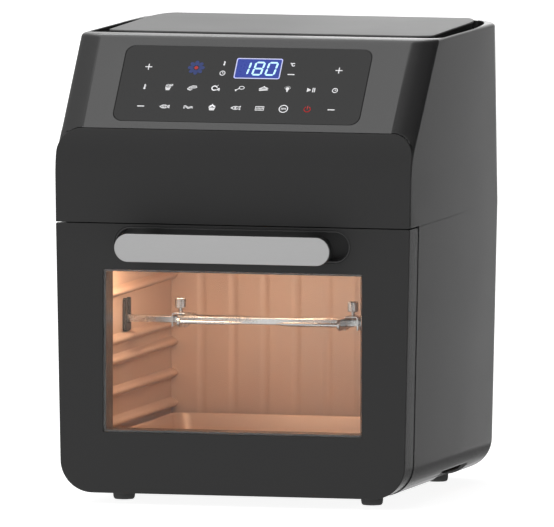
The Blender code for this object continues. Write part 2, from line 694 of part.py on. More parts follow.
def electrics():
    """Fan motor, power board, thermal cut-out, temperature sensor and the chamber's lamp."""
    y = behind(FAN_DEPTH)
    profile = [(0.0035, 0.300), (0.030, 0.300), (0.031, 0.297), (0.031, 0.266), (0.024, 0.2583),
               (0.0035, 0.2583)]
    turned("fan_motor", profile, (0, y, 0), "Z", BRIGHT_STEEL)
    board = box("power_board", (0.062, behind(0.200), 0.280), (0.135, behind(0.300), 0.2816), CIRCUIT)
    blocks = [
        box("block", (0.070, behind(0.210), 0.281), (0.095, behind(0.240), 0.306)),
        box("block", (0.105, behind(0.215), 0.281), (0.125, behind(0.235), 0.297)),
        box("block", (0.072, behind(0.260), 0.281), (0.090, behind(0.280), 0.300)),
        cylinder("block", (0.115, behind(0.270), 0.290), 0.009, 0.019, sides=16),
    ]
    combine(board, joined("board_blocks", blocks), "UNION")
    cutout = [(0.0, 0.272), (0.008, 0.272), (0.008, 0.262), (0.012, 0.260), (0.012, 0.2583),
              (0.0, 0.2583)]
    turned("thermal_cutout", cutout, (-0.060, y, 0), "Z", BRIGHT_STEEL, 16)
    sensor = [(0.0, 0.250), (0.006, 0.250), (0.006, 0.2275), (0.0025, 0.2275), (0.0025, 0.206),
              (0.0, 0.204)]
    turned("temperature_sensor", sensor, (-0.108, behind(0.220), 0), "Z", BRIGHT_STEEL, 16)
    lamp = (0.108, behind(0.080), 0)
    lens = [(0.0, 0.2257), (0.0155, 0.2257), (0.0155, 0.224), (0.012, 0.2205), (0.0, 0.2195)]
    turned("lamp_lens", lens, lamp, "Z", CLEAR_GLASS)
    bulb = [(0.0, 0.2475), (0.004, 0.2475), (0.009, 0.241), (0.009, 0.235), (0.005, 0.2295),
            (0.0, 0.228)]
    turned("lamp_bulb", bulb, lamp, "Z", CLEAR_GLASS, 16)
    holder = [(0.0, 0.264), (0.012, 0.264), (0.014, 0.260), (0.014, 0.2478), (0.0, 0.2478)]
    turned("lamp_holder", holder, lamp, "Z", WHITE_CERAMIC, 16)


def rotisserie_mounts():
    """Geared motor outside the right wall and the open cradle on the left wall."""
    y = behind(SPIT_DEPTH)
    box("rotisserie_motor", (0.1315, y - 0.022, SPIT_Z - 0.022), (0.1490, y + 0.022, SPIT_Z + 0.022),
        BRIGHT_STEEL, 0.003)
    half, low, high, slot = 0.009, SPIT_Z - 0.011, SPIT_Z + 0.0175, 0.0040
    cradle = rounded([
        (y - half, low, 0.003), (y + half, low, 0.003),
        (y + half, high, 0.001), (y + slot, high, 0.001),
        (y + slot, SPIT_Z - slot, 0.0038), (y - slot, SPIT_Z - slot, 0.0038),
        (y - slot, high, 0.001), (y - half, high, 0.001),
    ])
    wall = -CAVITY_HALF
    prism("spit_support", cradle, "X", wall + GAP, wall + 0.0033, DARK_STEEL)


def hinge_arms():
    """Fixed arms that reach forward from the base into the door's slots, with an eye at the pin."""
    for side, name in ((-1, "hinge_arm_left"), (1, "hinge_arm_right")):
        outline = rounded([
            (behind(HINGE_DEPTH - 0.005), HINGE_Z - 0.005, 0.0049),
            (behind(0.075), HINGE_Z - 0.005, 0.0),
            (behind(0.075), HINGE_Z + 0.005, 0.002),
            (behind(HINGE_DEPTH - 0.005), HINGE_Z + 0.005, 0.0049),
        ])
        x = side * HINGE_X
        arm = prism(name, outline, "X", x - 0.004, x + 0.004, BRIGHT_STEEL)
        eye = cylinder(name + "_eye", (x, behind(HINGE_DEPTH), HINGE_Z), PIN_RADIUS + GAP, 0.02, "X")
        combine(arm, eye)


def door_switch_and_catch():
    """Switch body behind the front wall on the right, magnet on the left."""
    switch = box("door_switch", (CATCH_X - 0.005, behind(0.0363), CATCH_Z - 0.009),
                 (CATCH_X + 0.005, behind(0.054), CATCH_Z + 0.009), BLACK_MATTE)
    combine(switch, cylinder("switch_bore", (CATCH_X, behind(0.040), CATCH_Z), 0.0025, 0.020, "Y"))
    box("door_catch", (-CATCH_X - 0.005, behind(0.0333), CATCH_Z - 0.008),
        (-CATCH_X + 0.005, behind(0.046), CATCH_Z + 0.008), DARK_STEEL)


# Door

def door_panel():
    """Matte front plate with the window and the handle's pocket cut through."""
    outline = front_outline(FOOT_HEIGHT, SEAM - SEAM_GAP / 2, BOTTOM_RADIUS, 0.0015)
    panel = prism("door_front_panel", outline, "Y", FRONT, behind(PANEL), BLACK_SATIN)
    window = rectangle(-WINDOW_HALF, WINDOW_LOW, WINDOW_HALF, WINDOW_HIGH)
    combine(panel, prism("window_cut", window, "Y", FRONT - WALL, behind(2 * PANEL)))
    combine(panel, stadium("pocket_cut", POCKET_HALF, POCKET_TALL, POCKET_Z, -WALL, 2 * PANEL))


def stadium(name, half, tall, z, near, far, look=None):
    """Bar with round ends across the door, between two depths behind the front plane."""
    outline = rounded([
        (-half, z - tall / 2, tall * 0.499), (half, z - tall / 2, tall * 0.499),
        (half, z + tall / 2, tall * 0.499), (-half, z + tall / 2, tall * 0.499),
    ])
    return prism(name, outline, "Y", behind(near), behind(far), look)


def door_frame():
    """Deep moulded frame: window tunnel, seat for the inner glass, handle pocket, hinge slots."""
    groove = 0.0004
    outline = front_outline(FOOT_HEIGHT, SEAM - SEAM_GAP / 2, BOTTOM_RADIUS - groove, 0.0015, groove)
    chamfer = 0.003
    profile = [
        (behind(PANEL + GAP), 0.0), (behind(DOOR_THICK - chamfer), 0.0),
        (behind(DOOR_THICK - chamfer), FOOT_HEIGHT), (behind(DOOR_THICK), FOOT_HEIGHT + chamfer),
        (behind(DOOR_THICK), SEAM + WALL), (behind(PANEL + GAP), SEAM + WALL),
    ]
    frame = prism("door_frame", profile, "X", -WIDTH, WIDTH, BLACK_GLOSS)
    combine(frame, prism("door_outline", outline, "Y", FRONT, behind(2 * DOOR_THICK)), "INTERSECT")
    ledge = 0.0018
    tunnel = rectangle(-WINDOW_HALF + ledge, WINDOW_LOW + ledge, WINDOW_HALF - ledge, WINDOW_HIGH - ledge)
    combine(frame, prism("tunnel", tunnel, "Y", FRONT, behind(2 * DOOR_THICK)))
    seat = box("glass_seat_rear", (-0.1218, behind(0.0267), 0.0520), (0.1218, behind(0.040), 0.2088))
    plate = box("plate_seat", (-0.1463, behind(0.0300), 0.0342), (0.1463, behind(0.040), 0.2263))
    combine(frame, seat)
    combine(frame, plate)
    hollows = []
    for x in (-0.1335, 0.1335):
        hollows.append(box("hollow", (x - 0.009, behind(0.008), 0.050), (x + 0.009, behind(0.040), 0.190)))
    combine(frame, joined("frame_hollows", hollows))
    seat_tall = POCKET_TALL + 2 * GAP
    combine(frame, stadium("pocket_seat", POCKET_HALF + GAP, seat_tall, POCKET_Z, 0.0, 0.0190))
    slots, bores = [], []
    for side in (-1, 1):
        x = side * HINGE_X
        slots.append(box("slot", (x - 0.006, behind(0.006), 0.0), (x + 0.006, behind(0.040), 0.0252)))
        bores.append(cylinder("bore", (x, behind(HINGE_DEPTH), HINGE_Z), PIN_RADIUS + GAP, 0.024, "X"))
    combine(frame, joined("hinge_slots", slots))
    combine(frame, joined("pin_bores", bores))
    strike = box("strike_seat", (-CATCH_X - 0.0033, behind(0.0300), CATCH_Z - 0.0073),
                 (-CATCH_X + 0.0038, behind(0.040), CATCH_Z + 0.0073))
    return combine(frame, strike)


def door_glass():
    """Outer pane flush with the front, inner pane at the back and the plate that holds it."""
    pane = rectangle(-WINDOW_HALF + GAP, WINDOW_LOW + GAP, WINDOW_HALF - GAP, WINDOW_HIGH - GAP)
    prism("door_outer_glass", pane, "Y", behind(0.0002), behind(PANEL), CLEAR_GLASS)
    box("door_inner_glass", (-0.1215, behind(0.0270), 0.0523), (0.1215, behind(0.0297), 0.2085), CLEAR_GLASS)
    plate = ring_plate("door_inner_frame", rectangle(-0.1460, 0.0345, 0.1460, 0.2260),
                       rectangle(-0.1130, 0.0610, 0.1130, 0.2000), "Y",
                       behind(0.0303), behind(0.0317), DARK_STEEL)
    notch = box("strike_room", (-CATCH_X - 0.006, behind(0.029), CATCH_Z - 0.0075),
                (-CATCH_X + 0.0040, behind(0.040), CATCH_Z + 0.0075))
    combine(plate, notch)
    box("door_strike", (-CATCH_X - 0.0030, behind(0.0303), CATCH_Z - 0.007),
        (-CATCH_X + 0.0035, behind(0.0317), CATCH_Z + 0.007), BRIGHT_STEEL)


def handle():
    """Dark pocket in the door, the bar that stands off it on two posts, and the bar's silver face."""
    pocket = stadium("handle_pocket", POCKET_HALF, POCKET_TALL, POCKET_Z, GAP, 0.0187, BLACK_MATTE)
    wall = 0.0015
    hollow_tall = POCKET_TALL - 2 * wall
    combine(pocket, stadium("pocket_hollow", POCKET_HALF - wall, hollow_tall, POCKET_Z, -WALL, 0.0172))
    reach, face, bar_thick = HANDLE_REACH, 0.0015, 0.0085
    stadium("handle_face", HANDLE_HALF - GAP, HANDLE_TALL - 2 * GAP, HANDLE_Z, -reach, -reach + face,
            SILVER)
    near, far = -reach + face + GAP, -reach + face + bar_thick
    bar = stadium("handle_bar", HANDLE_HALF, HANDLE_TALL, HANDLE_Z, near, far, BLACK_MATTE)
    low, high = HANDLE_Z - 0.007, HANDLE_Z + 0.007
    posts = []
    for x in (-0.072, 0.072):
        posts.append(box("post", (x - 0.009, behind(far - 0.003), low), (x + 0.009, behind(0.0169), high)))
    combine(bar, joined("handle_posts", posts), "UNION")


def door():
    door_panel()
    door_frame()
    door_glass()
    handle()
    for side, name in ((-1, "hinge_pin_left"), (1, "hinge_pin_right")):
        cylinder(name, (side * HINGE_X, behind(HINGE_DEPTH), HINGE_Z), PIN_RADIUS, 0.0225, "X",
                 BRIGHT_STEEL, 16)


# Pieces that spin

def fan(name, y, low, high, radius, blades, look):
    """Impeller: hub, thin disc and upright blades, bored for the shaft."""
    disc = 0.0014
    hub = cylinder(name, (0, y, (low + high) / 2), 0.009, high - low, "Z", look)
    plate = cylinder(name + "_disc", (0, y, high - disc / 2), radius, disc, "Z")
    combine(hub, plate, "UNION")
    vanes = []
    inner, outer = radius * 0.45, radius * 0.96
    for index in range(blades):
        vane = box("vane", (inner, -0.0006, low), (outer, 0.0006, high - disc / 2))
        swing = Matrix.Rotation(2 * math.pi * index / blades, 4, "Z")
        middle = Matrix.Translation(((inner + outer) / 2, 0, (low + high - disc / 2) / 2))
        rake = Matrix.Rotation(math.radians(25), 4, "Z")
        vane.matrix_basis = Matrix.Translation((0, y, 0)) @ swing @ middle @ rake
        vanes.append(vane)
    combine(hub, joined(name + "_vanes", vanes), "UNION")
    combine(hub, cylinder(name + "_bore", (0, y, (low + high) / 2), 0.0033, 0.06, "Z"))


def fans():
    y = behind(FAN_DEPTH)
    cylinder("motor_shaft", (0, y, 0.278), 0.0030, 0.084, "Z", BRIGHT_STEEL, 16)
    fan("hot_air_fan", y, 0.238, 0.252, 0.054, 8, BRIGHT_STEEL)
    fan("cooling_fan", y, 0.304, 0.317, 0.048, 7, DARK_STEEL)


def rotisserie():
    """Square spit with two clamped forks, driven by the socket in the right wall."""
    y = behind(SPIT_DEPTH)
    socket = turned("drive_socket", [(0.0, 0.1312), (0.0050, 0.1312), (0.0050, 0.1240), (0.0100, 0.1240),
                                     (0.0110, 0.1225), (0.0110, 0.1010), (0.0100, 0.1000), (0.0, 0.1000)],
                    (0, y, SPIT_Z), "X", DARK_STEEL)
    hole = SPIT_SIDE / 2 + GAP
    low, high = SPIT_Z - hole, SPIT_Z + hole
    combine(socket, box("socket_square", (0.090, y - hole, low), (0.1183, y + hole, high)))
    half = SPIT_SIDE / 2
    box("spit_rod", (-0.1240, y - half, SPIT_Z - half), (0.1180, y + half, SPIT_Z + half),
        BRIGHT_STEEL, 0.0012)
    for side, label in ((-1, "left"), (1, "right")):
        fork(side, label, y)


def fork(side, label, y):
    """Bent channel that clamps on the spit, two tines that point to the middle, and its thumb screw."""
    middle, outer, thick, tine = side * 0.076, 0.0062, 0.0014, 0.056
    reach, tall = 0.0065, 0.0062
    channel = box("fork_" + label, (middle - outer, y - reach, SPIT_Z - tall),
                  (middle + outer, y + reach, SPIT_Z + tall), BRIGHT_STEEL)
    inner = outer - thick
    combine(channel, box("bend_" + label, (middle - inner, y - 2 * reach, SPIT_Z - 2 * tall),
                         (middle + inner, y + 2 * reach, SPIT_Z + tall - thick)))
    ear = middle - side * (outer - thick / 2)
    arm_half, arm_reach = 0.0048, 0.030
    arm = box("arm_" + label, (ear - thick / 2 - GAP, y - arm_reach, SPIT_Z - arm_half),
              (ear + thick / 2 + GAP, y + arm_reach, SPIT_Z + arm_half))
    tines = [arm]
    for offset in (-0.026, 0.026):
        centre = (ear - side * tine / 2, y + offset, SPIT_Z)
        tines.append(cylinder("tine", centre, 0.0019, tine, "X", sides=12))
    for piece in tines:
        combine(channel, piece, "UNION")
    hole = SPIT_SIDE / 2 + GAP
    combine(channel, box("square_" + label, (middle - 2 * outer, y - hole, SPIT_Z - hole),
                         (middle + 2 * outer, y + hole, SPIT_Z + hole)))
    tap = cylinder("tap_" + label, (middle, y, SPIT_Z + tall), 0.0019, 4 * thick, "Z", sides=16)
    combine(channel, tap)
    screw = [(0.0, 0.0185), (0.0042, 0.0185), (0.0046, 0.0177), (0.0046, 0.0105), (0.0042, 0.0097),
             (0.0016, 0.0097), (0.0016, hole), (0.0, hole)]
    turned("thumb_screw_" + label, screw, (middle, y, SPIT_Z), "Z", BRIGHT_STEEL, 16)


def plunger():
    """Switch pin that the closed door holds in."""
    profile = [(0.0, 0.0480), (0.0022, 0.0480), (0.0022, 0.0330), (0.0015, 0.0323), (0.0, 0.0323)]
    turned("door_switch_plunger", profile, (CATCH_X, FRONT, CATCH_Z), "Y", WHITE_CERAMIC, 16)


def carry(name, place, nodes):
    """Empty on a joint's axis that carries the pieces of one moving body."""
    pivot = bpy.data.objects.new(name, None)
    pivot.location = place
    PARTS.objects.link(pivot)
    for node in nodes:
        child = bpy.data.objects[node]
        child.parent = pivot
        child.matrix_parent_inverse = Matrix.Translation(place).inverted()


for leftover in list(bpy.data.objects):
    bpy.data.objects.remove(leftover)
PARTS = collection("air_fryer")
CUTTERS = collection("cutters")

BLACK_SATIN = material("black_satin_plastic", (0.042, 0.042, 0.043), 0.55)
BLACK_GLOSS = material("black_gloss_plastic", (0.060, 0.060, 0.061), 0.30)
BLACK_MATTE = material("black_matte_plastic", (0.015, 0.015, 0.016), 0.60)
GREY_COVER = material("grey_cover_plastic", (0.30, 0.30, 0.30), 0.40)
DARK_GLASS = material("smoked_touch_glass", (0.030, 0.030, 0.032), 0.15)
CLEAR_GLASS = material("clear_glass", (0.90, 0.92, 0.92), 0.03, 0.0, 0.25)
DISPLAY_BLUE = material("blue_display", (0.02, 0.05, 0.50), 0.30)
CIRCUIT = material("circuit_board", (0.02, 0.12, 0.05), 0.50)
RUBBER = material("rubber", (0.02, 0.02, 0.02), 0.80)
SILVER = material("brushed_silver", (0.45, 0.46, 0.46), 0.35, 0.8)
WARM_STEEL = material("lit_chamber_steel", (0.62, 0.45, 0.36), 0.45, 0.3)
BRIGHT_STEEL = material("bright_steel", (0.60, 0.60, 0.60), 0.30, 1.0)
DARK_STEEL = material("dark_coated_steel", (0.05, 0.05, 0.05), 0.45, 0.3)
WHITE_CERAMIC = material("white_ceramic", (0.80, 0.80, 0.78), 0.50)

outer_housing()
front_fascia()
control_panel()
top_cover()
top_vent_tray()
rear_parts()
base_plate()
feet()
chamber()
drip_tray()
air_heater()
electrics()
rotisserie_mounts()
hinge_arms()
door_switch_and_catch()
door()
fans()
rotisserie()
plunger()

carry("door_pivot", (0, behind(HINGE_DEPTH), HINGE_Z), [
    "door_front_panel", "door_frame", "door_outer_glass", "door_inner_glass", "door_inner_frame",
    "door_strike", "handle_bar", "handle_face", "handle_pocket", "hinge_pin_left", "hinge_pin_right",
])
carry("spit_pivot", (0, behind(SPIT_DEPTH), SPIT_Z), [
    "drive_socket", "spit_rod", "fork_left", "fork_right", "thumb_screw_left", "thumb_screw_right",
])
carry("fan_pivot", (0, behind(FAN_DEPTH), 0.278), ["motor_shaft", "hot_air_fan", "cooling_fan"])
carry("plunger_pivot", (CATCH_X, behind(0.0323), CATCH_Z), ["door_switch_plunger"])
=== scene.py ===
"""Looks of a countertop air fryer oven: finer pieces, materials, light and camera round the CAD frame.

Metres, +Z up, the front faces -Y, in the same frame as the CAD model.
"""

import json
import math
from contextlib import contextmanager

import bmesh
import bpy
from mathutils import Matrix, Vector


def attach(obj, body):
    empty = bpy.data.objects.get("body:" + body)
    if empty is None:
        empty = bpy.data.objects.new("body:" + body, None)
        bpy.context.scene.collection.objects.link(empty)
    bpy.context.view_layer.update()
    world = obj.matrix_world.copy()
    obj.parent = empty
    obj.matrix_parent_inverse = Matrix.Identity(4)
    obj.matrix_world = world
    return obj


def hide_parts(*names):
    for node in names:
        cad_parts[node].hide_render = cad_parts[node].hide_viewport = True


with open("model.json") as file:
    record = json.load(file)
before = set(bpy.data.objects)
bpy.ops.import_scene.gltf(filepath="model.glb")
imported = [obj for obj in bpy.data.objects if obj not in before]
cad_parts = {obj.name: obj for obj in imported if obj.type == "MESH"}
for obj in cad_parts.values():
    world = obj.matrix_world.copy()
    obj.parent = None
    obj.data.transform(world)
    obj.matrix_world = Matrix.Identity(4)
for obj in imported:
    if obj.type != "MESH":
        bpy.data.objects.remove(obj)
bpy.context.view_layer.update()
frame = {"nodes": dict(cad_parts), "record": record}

# Driving dimensions: the frame's, with a thinner rim and seam, a wider trough, tighter corners of the
# lid and a slightly narrower touch glass
FRONT, REAR = -0.153, 0.179
WIDTH = 0.310
FOOT_HEIGHT = 0.0096
SEAM, SEAM_GAP = 0.2398, 0.0007
RIM_TOP, COVER_TOP = 0.395, 0.398
TAPER_DOWN, SPREAD_UP = 0.0200, 0.0140
BOTTOM_RADIUS, BASE_RADIUS, FRONT_RADIUS, RIM_RADIUS = 0.028, 0.0262, 0.020, 0.0032
CORNER_ACROSS = 0.0212
CORNER_BACK = ((0.240, 0.002), (0.288, 0.002), (0.320, 0.012), (0.395, 0.0155))
CORNER_SWEEP = ((0.306, 90.0), (0.320, 45.0), (0.388, 45.0), (0.395, 60.0))
REAR_RADIUS = ((0.000, 0.026), (0.240, 0.024), (0.395, 0.045))
BEND_START, BEND_RADIUS = 0.2784, 0.063
SLANT = math.radians(41.0)
FASCIA_TOP = 0.3193
WALL, GAP, PANEL = 0.003, 0.0003, 0.003
DOOR_THICK, HOUSING_FRONT = 0.032, 0.033
WINDOW_HALF, WINDOW_LOW, WINDOW_HIGH = 0.1133, 0.0617, 0.2005
HANDLE_REACH, HANDLE_HALF, HANDLE_TALL, HANDLE_Z = 0.036, 0.0945, 0.0245, 0.2220
POCKET_HALF, POCKET_TALL, POCKET_Z, POCKET_FLOOR = 0.1032, 0.0275, 0.2235, 0.0187
POST_X, POST_HALF, POST_RISE, POST_END = 0.072, 0.009, 0.007, 0.0169
HINGE_X, HINGE_DEPTH, HINGE_Z, PIN_RADIUS = 0.100, 0.013, 0.018, 0.002
ARM_HALF, ARM_TOP = 0.006, 0.0252
CATCH_X, CATCH_Z = 0.1425, 0.200
INNER_HALF, INNER_LOW, INNER_HIGH = 0.1215, 0.0523, 0.2085
BACKING_HALF, BACKING_LOW, BACKING_HIGH = 0.1460, 0.0345, 0.2260
REAR_HALF, REAR_LOW, REAR_HIGH, REAR_CORNER = 0.112, 0.030, 0.372, 0.010
GLAND_X, GLAND_Z, GLAND_HOLE = 0.085, 0.055, 0.0083
CAVITY_HALF, CAVITY_FRONT, CAVITY_REAR = 0.125, 0.0357, 0.274
CAVITY_LOW, CAVITY_HIGH, SHEET = 0.038, 0.226, 0.0012
MOUTH_HALF, MOUTH_LOW, MOUTH_HIGH, MOUTH_CORNER = 0.134, 0.027, 0.234, 0.006
LAMP_X, LAMP_DEPTH, LAMP_HOLE = 0.108, 0.080, 0.012
FAN_HOLE, SENSOR_X, SENSOR_DEPTH, SENSOR_HOLE = 0.075, -0.108, 0.220, 0.0032
SEAL_HALF, SEAL_LOW, SEAL_HIGH, SEAL_WIDE = 0.1325, 0.0300, 0.2330, 0.0055
RIB_REACH, RIB_TALL = 0.006, 0.009
RIB_HEIGHTS = (0.063, 0.089, 0.116, 0.133, 0.174)
SPIT_DEPTH, SPIT_Z, SPIT_SIDE, FAN_DEPTH = 0.118, 0.149, 0.006, 0.154
ROD_LEFT, ROD_RIGHT, SOCKET_HOLE = -0.1240, 0.1180, 0.0125
GLASS_U, GLASS_HALF, GLASS_LOW, GLASS_HIGH = -0.0032, 0.1076, 0.0083, 0.0878
GLASS_THICK, GLASS_CORNER = 0.0012, 0.009
COVER_HALF, COVER_FRONT, COVER_REAR, COVER_TILT = 0.1428, 0.1240, 0.3050, 0.0155
FRONT_ACROSS, FRONT_BACK, REAR_ACROSS, REAR_BACK = 0.030, 0.0085, 0.014, 0.050
TROUGH_HALF, TROUGH_FRONT, TROUGH_REAR, TROUGH_CORNER = 0.1547, 0.1014, 0.3255, 0.009
TROUGH_ACROSS, TROUGH_BACK = 0.026, 0.110
ROOM_TOP, TRAY_TOP, TRAY_THICK = 0.3880, 0.3875, 0.0025
GRIP_X, GRIP_HALF, GRIP_FRONT, GRIP_REAR, GRIP_TOP = 0.150, 0.024, 0.152, 0.246, 0.0205
FOOT_X, FOOT_FRONT, FOOT_REAR = 0.109, 0.054, 0.2825
STEPS = 14                         # steps in a quarter round
CLOSE = 0.00002                    # points nearer than this are one
NORMAL_WEIGHT = 90                 # how strongly large faces set the shading beside them
UNDER = -0.01                      # a height below the feet, where cutters start

scene = bpy.context.scene


def behind(depth):
    return FRONT + depth


# Materials

def wire(tree, source, target):
    tree.links.new(source, target)


def values(made, **settings):
    """Sets a node's inputs by name, with _ for each space."""
    for name, value in settings.items():
        made.inputs[name.replace("_", " ")].default_value = value


def node(tree, kind, **settings):
    made = tree.nodes.new("ShaderNode" + kind)
    values(made, **settings)
    return made


def noise(tree, vector, scale, detail):
    made = node(tree, "TexNoise", Scale=scale, Detail=detail)
    wire(tree, vector, made.inputs["Vector"])
    return made.outputs["Fac"]


def remap(tree, source, low, high, to_low, to_high):
    """Straight line from one range to another, held at its ends."""
    made = node(tree, "MapRange", From_Min=low, From_Max=high, To_Min=to_low, To_Max=to_high)
    wire(tree, source, made.inputs["Value"])
    return made.outputs["Result"]


def ramp(tree, source, stops):
    """Colour between (position, colour) stops."""
    made = node(tree, "ValToRGB")
    elements = made.color_ramp.elements
    while len(elements) < len(stops):
        elements.new(0.5)
    for element, (position, colour) in zip(elements, stops):
        element.position = position
        element.color = (*colour, 1)
    wire(tree, source, made.inputs["Fac"])
    return made.outputs["Color"]


def principled(name):
    made = bpy.data.materials.new(name)
    made.use_nodes = True
    return made, made.node_tree, made.node_tree.nodes["Principled BSDF"]


NOISE_LOW, NOISE_HIGH = 0.30, 0.70      # where the noise's dark and light ends lie
FINE_SHARE = 0.45                       # share of the fine noise in the mix
RELIEF_DEPTH = 0.0004


def finish(name, colour, rough, *, metallic=0.0, grain=900.0, vary=0.06, rough_vary=0.05, bump=0.04,
           stretch=(1, 1, 1), mottle=14.0, specular=0.5, emission=None, strength=0.0):
    """Principled material whose colour, roughness and relief come from two scales of noise."""
    made, tree, shader = principled(name)
    scale = node(tree, "Mapping", Scale=stretch)
    wire(tree, node(tree, "TexCoord").outputs["Object"], scale.inputs["Vector"])
    broad = noise(tree, scale.outputs["Vector"], mottle, 5.0)
    fine = noise(tree, scale.outputs["Vector"], grain, 3.0)
    blend = node(tree, "Mix", Factor=FINE_SHARE)
    wire(tree, broad, blend.inputs["A"])
    wire(tree, fine, blend.inputs["B"])
    mixed = blend.outputs["Result"]
    dark, light = [c * (1 - vary) for c in colour], [min(1, c * (1 + vary)) for c in colour]
    wire(tree, ramp(tree, mixed, [(NOISE_LOW, dark), (NOISE_HIGH, light)]), shader.inputs["Base Color"])
    smooth, dull = max(0.02, rough - rough_vary), min(1.0, rough + rough_vary)
    wire(tree, remap(tree, mixed, NOISE_LOW, NOISE_HIGH, smooth, dull), shader.inputs["Roughness"])
    relief = node(tree, "Bump", Strength=bump, Distance=RELIEF_DEPTH)
    wire(tree, fine, relief.inputs["Height"])
    wire(tree, relief.outputs["Normal"], shader.inputs["Normal"])
    values(shader, Metallic=metallic, Specular_IOR_Level=specular)
    if emission:
        values(shader, Emission_Color=(*emission, 1), Emission_Strength=strength)
    return made


def pane(name, tint, smear):
    """Clear glass with a faint uneven film on it."""
    made, tree, shader = principled(name)
    values(shader, Transmission_Weight=1.0, IOR=1.2, Base_Color=(*tint, 1))
    film = noise(tree, node(tree, "TexCoord").outputs["Object"], 9.0, 4.0)
    wire(tree, remap(tree, film, 0.35, 0.75, 0.0, smear), shader.inputs["Roughness"])
    return made


GLOSS = finish("gloss_black_plastic", (0.019, 0.019, 0.0193), 0.22, vary=0.04, bump=0.025,
               grain=1500.0, specular=1.0)
SATIN = finish("satin_black_plastic", (0.031, 0.031, 0.0313), 0.50, vary=0.05, bump=0.05,
               grain=2200.0, specular=0.34)
MATTE = finish("matte_black_plastic", (0.022, 0.022, 0.0225), 0.58, vary=0.10, bump=0.06,
               grain=1800.0, specular=0.35)
LID_GREY = finish("grey_lid_plastic", (0.262, 0.262, 0.261), 0.46, vary=0.035, bump=0.05, grain=1600.0)
TOUCH = finish("smoked_touch_glass", (0.006, 0.006, 0.0063), 0.14, vary=0.05, bump=0.004,
               grain=300.0, specular=0.45)
POCKET = finish("pocket_black_plastic", (0.060, 0.060, 0.0605), 0.50, vary=0.08, bump=0.05,
                grain=1800.0, specular=0.40)
# Trough tray look: far lighter than the matte black plastic it is made of, painted light in the trough's
# shade round the lid
DECK_PAINTED_LIGHT = finish("deck_plastic_painted_light", (0.11, 0.11, 0.11), 0.55, vary=0.10, bump=0.05,
              grain=1600.0, specular=0.40)
RUBBER = finish("rubber", (0.052, 0.052, 0.052), 0.72, vary=0.12, bump=0.15, grain=1400.0)
SILVER = finish("brushed_silver", (0.585, 0.585, 0.586), 0.40, metallic=0.75, vary=0.035,
                rough_vary=0.06, bump=0.05, stretch=(0.06, 1, 1), grain=2600.0)
CHAMBER = finish("chamber_steel", (0.66, 0.49, 0.39), 0.42, metallic=0.25, vary=0.06,
                 rough_vary=0.08, bump=0.05, grain=800.0, stretch=(1, 0.25, 1))
STEEL = finish("bright_steel", (0.62, 0.61, 0.60), 0.26, metallic=1.0, vary=0.06, rough_vary=0.07,
               bump=0.03, grain=1200.0)
ELEMENT = finish("heating_element_sheath", (0.16, 0.13, 0.12), 0.48, metallic=0.6, vary=0.18,
                 rough_vary=0.12, bump=0.08, grain=700.0)
COATED = finish("dark_coated_steel", (0.045, 0.044, 0.043), 0.45, metallic=0.3, vary=0.15,
                rough_vary=0.10, bump=0.10, grain=1500.0)
CERAMIC = finish("white_ceramic", (0.78, 0.78, 0.75), 0.45, vary=0.04, bump=0.06, grain=900.0)
CIRCUIT = finish("green_circuit_board", (0.02, 0.11, 0.045), 0.45, vary=0.35, bump=0.12, grain=260.0)
SCREEN = finish("blue_display", (0.006, 0.025, 0.20), 0.30, vary=0.08, bump=0.01, grain=500.0,
                mottle=60.0, emission=(0.006, 0.030, 0.31), strength=0.72)
LIT = finish("lit_digit", (0.55, 0.85, 0.95), 0.35, vary=0.03, bump=0.01, grain=500.0,
             emission=(0.52, 0.86, 1.0), strength=0.75)
BORDER = finish("display_border", (0.60, 0.62, 0.85), 0.35, vary=0.04, bump=0.01, grain=500.0,
                emission=(0.60, 0.62, 0.92), strength=0.50)
PRINT = finish("printed_icon", (0.78, 0.78, 0.79), 0.50, vary=0.06, bump=0.02, grain=900.0,
               emission=(0.8, 0.8, 0.82), strength=0.45)
RED_PRINT = finish("red_icon", (0.55, 0.03, 0.03), 0.50, vary=0.10, bump=0.02, grain=900.0,
                   emission=(0.60, 0.03, 0.04), strength=0.22)
BLUE_PRINT = finish("blue_icon", (0.035, 0.06, 0.22), 0.50, vary=0.15, bump=0.02, grain=900.0,
                    emission=(0.03, 0.06, 0.28), strength=0.14)
GLASS = pane("clear_glass", (0.96, 0.965, 0.965), 0.035)

SLOT_LOOK = {
    "black_gloss_plastic": GLOSS, "black_satin_plastic": SATIN, "black_matte_plastic": MATTE,
    "grey_cover_plastic": LID_GREY, "touch_glass": TOUCH, "clear_glass": GLASS, "rubber": RUBBER,
    "brushed_silver": SILVER, "chamber_steel": CHAMBER, "bright_steel": STEEL,
    "dark_coated_steel": COATED, "white_ceramic": CERAMIC, "circuit_board": CIRCUIT, "display": SCREEN,
}


# Shape helpers

def settle(made, angle=32.0):
    """Smooth shading with sharp edges above an angle."""
    made.data.shade_smooth()
    made.data.set_sharp_from_angle(angle=math.radians(angle))
    return made


def from_bmesh(name, build):
    bmesh.ops.recalc_face_normals(build, faces=build.faces)
    mesh = bpy.data.meshes.new(name)
    build.to_mesh(mesh)
    build.free()
    made = bpy.data.objects.new(name, mesh)
    scene.collection.objects.link(made)
    return settle(made)


@contextmanager
def editing(made):
    """The object's mesh as a bmesh, written back afterwards."""
    build = bmesh.new()
    build.from_mesh(made.data)
    yield build
    build.to_mesh(made.data)
    build.free()


def baked(made):
    """The object with its modifiers applied, as a plain mesh."""
    graph = bpy.context.evaluated_depsgraph_get()
    graph.update()
    mesh = bpy.data.meshes.new_from_object(made.evaluated_get(graph))
    mesh.name = made.name
    if made.type == "MESH":
        made.modifiers.clear()
        made.data = mesh
        return made
    name, matrix = made.name, made.matrix_world.copy()
    bpy.data.objects.remove(made)
    fresh = bpy.data.objects.new(name, mesh)
    fresh.matrix_world = matrix
    scene.collection.objects.link(fresh)
    return settle(fresh)


